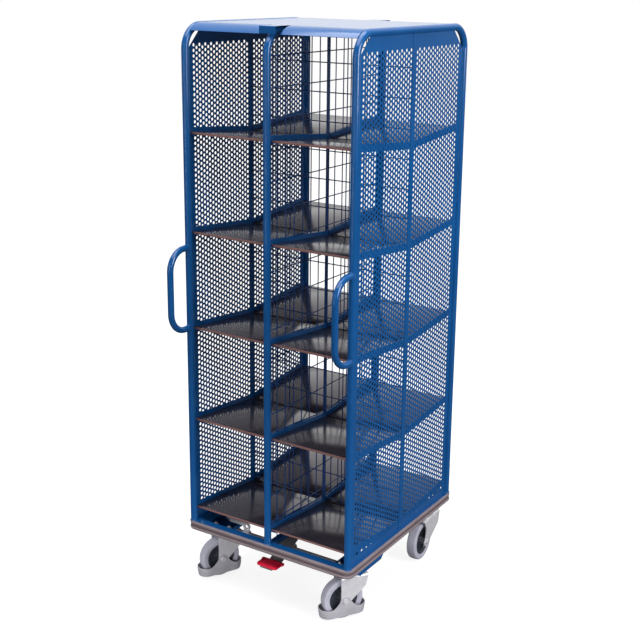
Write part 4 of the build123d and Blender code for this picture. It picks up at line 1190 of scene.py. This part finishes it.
def hexagon_head(flat, height, washer, washer_height):
    """A washer and a chamfered hexagon standing on z = 0: radius flat / cos(angle from the flat), cut by
    a circle."""
    angle = full_turn(HEX_SIDES)
    from_flat = (angle + math.pi / 6) % (math.pi / 3) - math.pi / 6
    hexagon = flat / np.cos(from_flat)
    levels = [(washer, 0.0), (washer, washer_height), (hexagon, washer_height),
              (np.minimum(hexagon, CHAMFER_WIDTH * flat), washer_height + CHAMFER_START * height),
              (np.minimum(hexagon, flat), washer_height + height)]
    rings = [points_at(radius * np.cos(angle), radius * np.sin(angle), z) for radius, z in levels]
    return grid_shape(np.stack(rings), wrap_columns=True, lids=True)


def along_x(shape, x, side):
    """A shape that stood on z = 0, laid on its side to stand out along X from a place on the axle."""
    across, deep, tall = shape[0].T
    return points_at(x + side * tall, across - CASTER_TRAIL, deep + AXLE_Z), shape[1]


def axle_shape(half):
    """A rod across the fork with a head outside each leg."""
    angle = full_turn(AXLE_SIDES)
    rod = points_at(np.array([[-half], [half]]), AXLE_RADIUS * np.cos(angle) - CASTER_TRAIL,
                    AXLE_RADIUS * np.sin(angle) + AXLE_Z)
    head = hexagon_head(**AXLE_HEAD)
    return stacked([grid_shape(rod, wrap_columns=True, lids=True), along_x(head, half, 1),
                    along_x(head, -half, -1)])


for corner in CORNERS:
    half = FORK_GAP / 2 + FORK_SHEET + (GUARD_SHEET if corner in FRONT_CORNERS else 0)
    put_on_caster(corner, "axle_bolt", axle_shape(half), ZINC, "zinc", stands_for=["axle"], crease=25)

# %% Plate bolts
PLATE_BOLT_X = 30 * MM
PLATE_BOLT_Y = 40 * MM
BRACKET_WEB = 4 * MM
PLATE_NUT = {"flat": 8.5 * MM, "height": 8 * MM, "washer": 10.5 * MM, "washer_height": 1.6 * MM}
STUD_END = {"flat": 4.3 * MM, "height": 15 * MM, "washer": 4.9 * MM, "washer_height": 1.0 * MM}
PLATE_TOP = span("rear_caster_heads")[1][2]
nut = stacked([hexagon_head(**PLATE_NUT), hexagon_head(**STUD_END)])
bolts = []
for corner in CORNERS:
    swivel = caster_turn(corner)[0]
    for step_x in (-PLATE_BOLT_X, PLATE_BOLT_X):
        for step_y in (-PLATE_BOLT_Y, PLATE_BOLT_Y):
            bolts.append(moved(nut, (swivel[0] + step_x, swivel[1] + step_y, PLATE_TOP + BRACKET_WEB)))
put_piece("plate_nuts", stacked(bolts), ZINC, slot="zinc", crease=25)

# %% [markdown]
# The brake pedal's pad.
# A red moulded pad sits on the pedal's tread, with a small tab on each side at its rear and a few ribs for
# grip. Its outline is a loop of corners, each rounded; the loop is drawn in as it rises, which rounds the
# upper edge.

# %% Pedal pad
pad_low, pad_high = span("pedal_pad")
PAD_HALF = 42 * MM
PAD_TAB = 13 * MM
PAD_CORNER = 10 * MM
PAD_TAB_CORNER = 2 * MM
PAD_ROUND = 3 * MM
PAD_FOOT = 0.8 * MM
PAD_RIB, PAD_RIB_HALF, PAD_RIB_PITCH = 1.2 * MM, 1.6 * MM, 7 * MM


def rounded_loop(corners, radii, steps=6):
    """A closed loop of corners, each cut back along both sides and bridged by a curve through
    (1-t)^2 start + 2t(1-t) corner + t^2 end."""
    corners = np.asarray(corners, float)
    into = np.roll(corners, 1, 0) - corners
    out = np.roll(corners, -1, 0) - corners
    into /= np.linalg.norm(into, axis=1, keepdims=True)
    out /= np.linalg.norm(out, axis=1, keepdims=True)
    cut = np.asarray(radii, float)[:, None]
    start, end = corners + into * cut, corners + out * cut
    t = np.linspace(0, 1, steps)[None, :, None]
    arcs = (1 - t) ** 2 * start[:, None] + 2 * t * (1 - t) * corners[:, None] + t ** 2 * end[:, None]
    return arcs.reshape(-1, 2)


def pad_shape(steps=6):
    """Rings of the pad's loop, each drawn in by round (1 - cos a) as it rises by round sin a."""
    tab_y, tab_x = pad_high[1] - PAD_TAB, pad_high[0]
    side = [(tab_x, pad_high[1]), (tab_x, tab_y), (PAD_HALF, tab_y), (PAD_HALF, pad_low[1])]
    corners = side + [(-x, y) for x, y in reversed(side)]
    radii = [2 * PAD_TAB_CORNER, PAD_TAB_CORNER, PAD_TAB_CORNER, PAD_CORNER]
    loop = rounded_loop(corners, radii + radii[::-1])
    along = np.roll(loop, -1, 0) - np.roll(loop, 1, 0)
    inward = points_at(along[:, 1], -along[:, 0]) / np.linalg.norm(along, axis=1, keepdims=True)
    angle = np.linspace(0, math.pi / 2, steps)
    inset = np.concatenate([[PAD_FOOT, 0.0], PAD_ROUND * (1 - np.cos(angle))])
    top = pad_high[2] - PAD_RIB - PAD_ROUND + PAD_ROUND * np.sin(angle)
    height = np.concatenate([[pad_low[2], pad_low[2] + PAD_FOOT], top])
    flat = loop[None] + inward[None] * inset[:, None, None]
    rings = points_at(flat[..., 0], flat[..., 1], height[:, None])
    return grid_shape(rings, wrap_columns=True, lids=True)


def pad_rib(y, sides=12):
    """One grip rib across the pad: a half round bar."""
    reach = PAD_HALF - PAD_CORNER
    angle = full_turn(sides)
    points = points_at(np.array([[-reach], [reach]]), y + PAD_RIB_HALF * np.cos(angle),
                       pad_high[2] - PAD_RIB + PAD_RIB * np.sin(angle))
    return grid_shape(points, wrap_columns=True, lids=True)


pad_middle = (pad_low[1] + pad_high[1]) / 2
ribs = [pad_rib(pad_middle + step * PAD_RIB_PITCH) for step in range(-2, 3)]
put_piece("moulded_pad", stacked([pad_shape()] + ribs), RED_PLASTIC, body="brake", slot="red_plastic",
          stands_for=["pedal_pad"], crease=40)

# %% [markdown]
# Finishes for the solids that stay.
# The rails, brackets, angles, flat bars and the brake's steel parts have the right shape already,
# so they keep their solids and only get a finish.

# %% Paint the kept solids
KEPT = {
    BLUE_PAINT: ["left_panel_bar", "right_panel_bar", "base_front_rail", "base_rear_rail",
                 "base_left_rail", "base_right_rail", "base_middle_rail", "base_cross_rails",
                 "caster_brackets", "left_shelf_angles", "right_shelf_angles", "middle_shelf_angles"],
    SHADED_WIRE_PAINT: ["center_post"],
    ZINC: ["front_caster_heads", "rear_caster_heads", "king_nuts", "brake_cams", "brake_levers",
           "left_plunger", "right_plunger"],
    # painted shade: the brake shaft takes the arm's darker finish, to show as a dark line along the rail
    DARK_STEEL_AND_SHAFT_SHADE: ["pedal_arm", "brake_shaft"],
}
for material, names in KEPT.items():
    for name in names:
        mesh = frame["nodes"][name].data
        mesh.materials.clear()
        mesh.materials.append(material)
print("painted", sum(len(names) for names in KEPT.values()), "solids")

# %% [markdown]
# The studio.
# A white floor in front of a white backdrop. For the camera the floor is lifted to white by a little light
# of its own, less of it near the trolley so that its soft shadow stays. Reflections see the white backdrop
# behind the trolley, and a dim floor and room elsewhere, which keeps the paint deep and the roof pale.
# The backdrop's side also gives more of the even room light, so that the back of the trolley isn't dark.

# %% Studio floor
FLOOR_HALF = 12.0
NEAR_LIFT = 0.84
NEAR_RADIUS, FAR_RADIUS = 0.9, 2.4
FADE_START, FADE_END = 1.4, 3.0
NEAR_GREY, FAR_GREY, MIRRORED_GREY = ((level, level, level, 1.0) for level in (0.28, 0.14, 0.05))


def vector_measure(tree, operation, *vectors):
    """One Vector Math node that makes a number of its vectors."""
    node = tree.nodes.new("ShaderNodeVectorMath")
    node.operation = operation
    for socket, value in zip(node.inputs, vectors):
        feed(tree, socket, value)
    return node.outputs["Value"]


def studio_floor():
    """A pale matt floor that adds white where the camera sees it, rising to full white away from the
    trolley."""
    material = bpy.data.materials.new("studio_floor")
    material.use_nodes = True
    tree = material.node_tree
    tree.nodes.clear()
    rays = tree.nodes.new("ShaderNodeLightPath")
    distance = vector_measure(tree, "LENGTH", own_place(tree))
    lift = rescale(tree, distance, NEAR_RADIUS, FAR_RADIUS, NEAR_LIFT, 1.0)
    far = rescale(tree, distance, FADE_START, FADE_END, 0.0, 1.0)
    tone = blend_colours(tree, far, NEAR_GREY, FAR_GREY)
    tone = blend_colours(tree, rays.outputs["Is Glossy Ray"], tone, MIRRORED_GREY)
    matt = add_node(tree, "ShaderNodeBsdfDiffuse", Color=tone)
    white = add_node(tree, "ShaderNodeEmission",
                     Strength=arithmetic(tree, "MULTIPLY", rays.outputs["Is Camera Ray"], lift))
    both = tree.nodes.new("ShaderNodeAddShader")
    tree.links.new(matt.outputs[0], both.inputs[0])
    tree.links.new(white.outputs[0], both.inputs[1])
    result = tree.nodes.new("ShaderNodeOutputMaterial")
    tree.links.new(both.outputs[0], result.inputs["Surface"])
    return material


floor_corners = FLOOR_HALF * np.array([[-1, -1, 0], [1, -1, 0], [1, 1, 0], [-1, 1, 0]])
floor_mesh = bpy.data.meshes.new("floor")
floor_mesh.from_pydata(floor_corners.tolist(), [], [[0, 1, 2, 3]])
floor_mesh.materials.append(studio_floor())
floor = bpy.data.objects.new("floor", floor_mesh)
bpy.context.scene.collection.objects.link(floor)
print("floor is", 2 * FLOOR_HALF, "m square")

# %% Studio surround
ROOM_LIGHT, BACK_LIGHT = 0.18, 1.1
ROOM_REFLECTION = 0.07
BACKDROP_SIDE, BACKDROP_EDGE = (-0.45, 0.72, 0.53), (0.35, 0.8)
LIGHTER_SIDE, LIGHTER_EDGE = (-0.78, 0.55, 0.3), (0.0, 0.6)


def studio_world():
    """White for the camera; for reflections white towards the backdrop and dim behind the camera; an even
    room light, brighter from the lighter side. How far a ray points to a side is their dot product."""
    world = bpy.data.worlds.new("studio")
    world.use_nodes = True
    tree = world.node_tree
    rays = tree.nodes.new("ShaderNodeLightPath").outputs
    direction = tree.nodes.new("ShaderNodeTexCoord").outputs["Generated"]
    to_backdrop = vector_measure(tree, "DOT_PRODUCT", direction, BACKDROP_SIDE)
    to_lighter = vector_measure(tree, "DOT_PRODUCT", direction, LIGHTER_SIDE)
    backdrop = rescale(tree, to_backdrop, *BACKDROP_EDGE, ROOM_REFLECTION, 1.0)
    room = rescale(tree, to_lighter, *LIGHTER_EDGE, ROOM_LIGHT, BACK_LIGHT)
    mirrored = arithmetic(tree, "MAXIMUM", rays["Is Glossy Ray"], rays["Is Transmission Ray"])
    level = arithmetic(tree, "MAXIMUM", arithmetic(tree, "MULTIPLY", mirrored, backdrop),
                       rays["Is Camera Ray"])
    other = arithmetic(tree, "MULTIPLY", rays["Is Diffuse Ray"], room)
    sky = tree.nodes["Background"].inputs
    sky["Color"].default_value = (1.0, 1.0, 1.0, 1.0)
    tree.links.new(arithmetic(tree, "MAXIMUM", level, other), sky["Strength"])
    return world


bpy.context.scene.world = studio_world()
print("surround nodes:", len(bpy.context.scene.world.node_tree.nodes))

# %% [markdown]
# Soft lamps.
# A large soft box on the right lights the perforated side and a wide one overhead the shelves. Two narrow
# strips in front draw the pair of thin highlights that run down every tube. A low box with a grid, so that
# its beam stays narrow, fills the casters under the base.

# %% Lamps
def placed(right, up, back, place):
    """A matrix whose X, Y and Z axes are the given directions, moved to a place."""
    matrix = np.eye(4)
    matrix[:3, :3] = np.stack([right, up, back], -1)
    matrix[:3, 3] = place
    return Matrix(matrix.tolist())


def soft_box(name, place, target, size, watts, spread=180):
    """A rectangular area lamp at a place, turned to face a target, its beam held within a spread in
    degrees."""
    lamp = bpy.data.lights.new(name, "AREA")
    lamp.shape = "RECTANGLE"
    lamp.size, lamp.size_y = size
    lamp.energy = watts
    lamp.spread = math.radians(spread)
    piece = bpy.data.objects.new(name, lamp)
    bpy.context.scene.collection.objects.link(piece)
    back = unit(np.array(place, float) - np.array(target, float))
    right = unit(np.cross([0, 0, 1.0], back))
    piece.matrix_world = placed(right, np.cross(back, right), back, place)


AIM = (0.0, 0.0, 1.0)
soft_box("right_box", (3.9, -0.4, 2.6), AIM, (1.6, 2.6), 143)
soft_box("top_box", (0.0, -0.6, 4.6), AIM, (3.5, 3.5), 155)
soft_box("left_strip", (-1.1, -4.0, 1.9), AIM, (0.2, 3.0), 17)
soft_box("front_strip", (0.7, -4.3, 1.9), AIM, (0.14, 3.0), 16)
soft_box("low_box", (1.3, -2.3, 0.3), (-0.1, -0.25, 0.12), (1.0, 0.35), 1.1, spread=35)
print("lamps:", len(bpy.data.lights))

# %% [markdown]
# The camera.
# The view was worked out from straight edges of the real trolley: a moderate lens, a little above eye
# level of the middle, with the optical centre right of and above the middle of the picture, which the lens
# shift carries.

# %% Camera
PICTURE = 640.0
FOCAL_PIXELS = 1145.0
OPTICAL_CENTRE = (340.56, 280.85)
AZIMUTH, ELEVATION, ROLL = (math.radians(angle) for angle in (31.96, 15.04, 0.86))
EYE = (2.1228, -3.26075, 2.1766)
SENSOR = 36.0
CLIP_END = 60.0

back = np.array([math.sin(AZIMUTH) * math.cos(ELEVATION), -math.cos(AZIMUTH) * math.cos(ELEVATION),
                 math.sin(ELEVATION)])
right = np.array([math.cos(AZIMUTH), math.sin(AZIMUTH), 0.0])
up = np.cross(right, -back)
view_right = math.cos(ROLL) * right + math.sin(ROLL) * up
view_up = math.cos(ROLL) * up - math.sin(ROLL) * right
lens = bpy.data.cameras.new("camera")
lens.sensor_width = SENSOR
lens.lens = FOCAL_PIXELS / PICTURE * SENSOR
lens.shift_x = -(OPTICAL_CENTRE[0] - PICTURE / 2) / PICTURE
lens.shift_y = -(PICTURE / 2 - OPTICAL_CENTRE[1]) / PICTURE
lens.clip_end = CLIP_END
camera = bpy.data.objects.new("camera", lens)
bpy.context.scene.collection.objects.link(camera)
camera.matrix_world = placed(view_right, view_up, back, EYE)
bpy.context.scene.camera = camera
bpy.context.scene.view_settings.view_transform = "Standard"
print("lens", round(lens.lens, 1), "mm, shift", round(lens.shift_x, 3), round(lens.shift_y, 3))
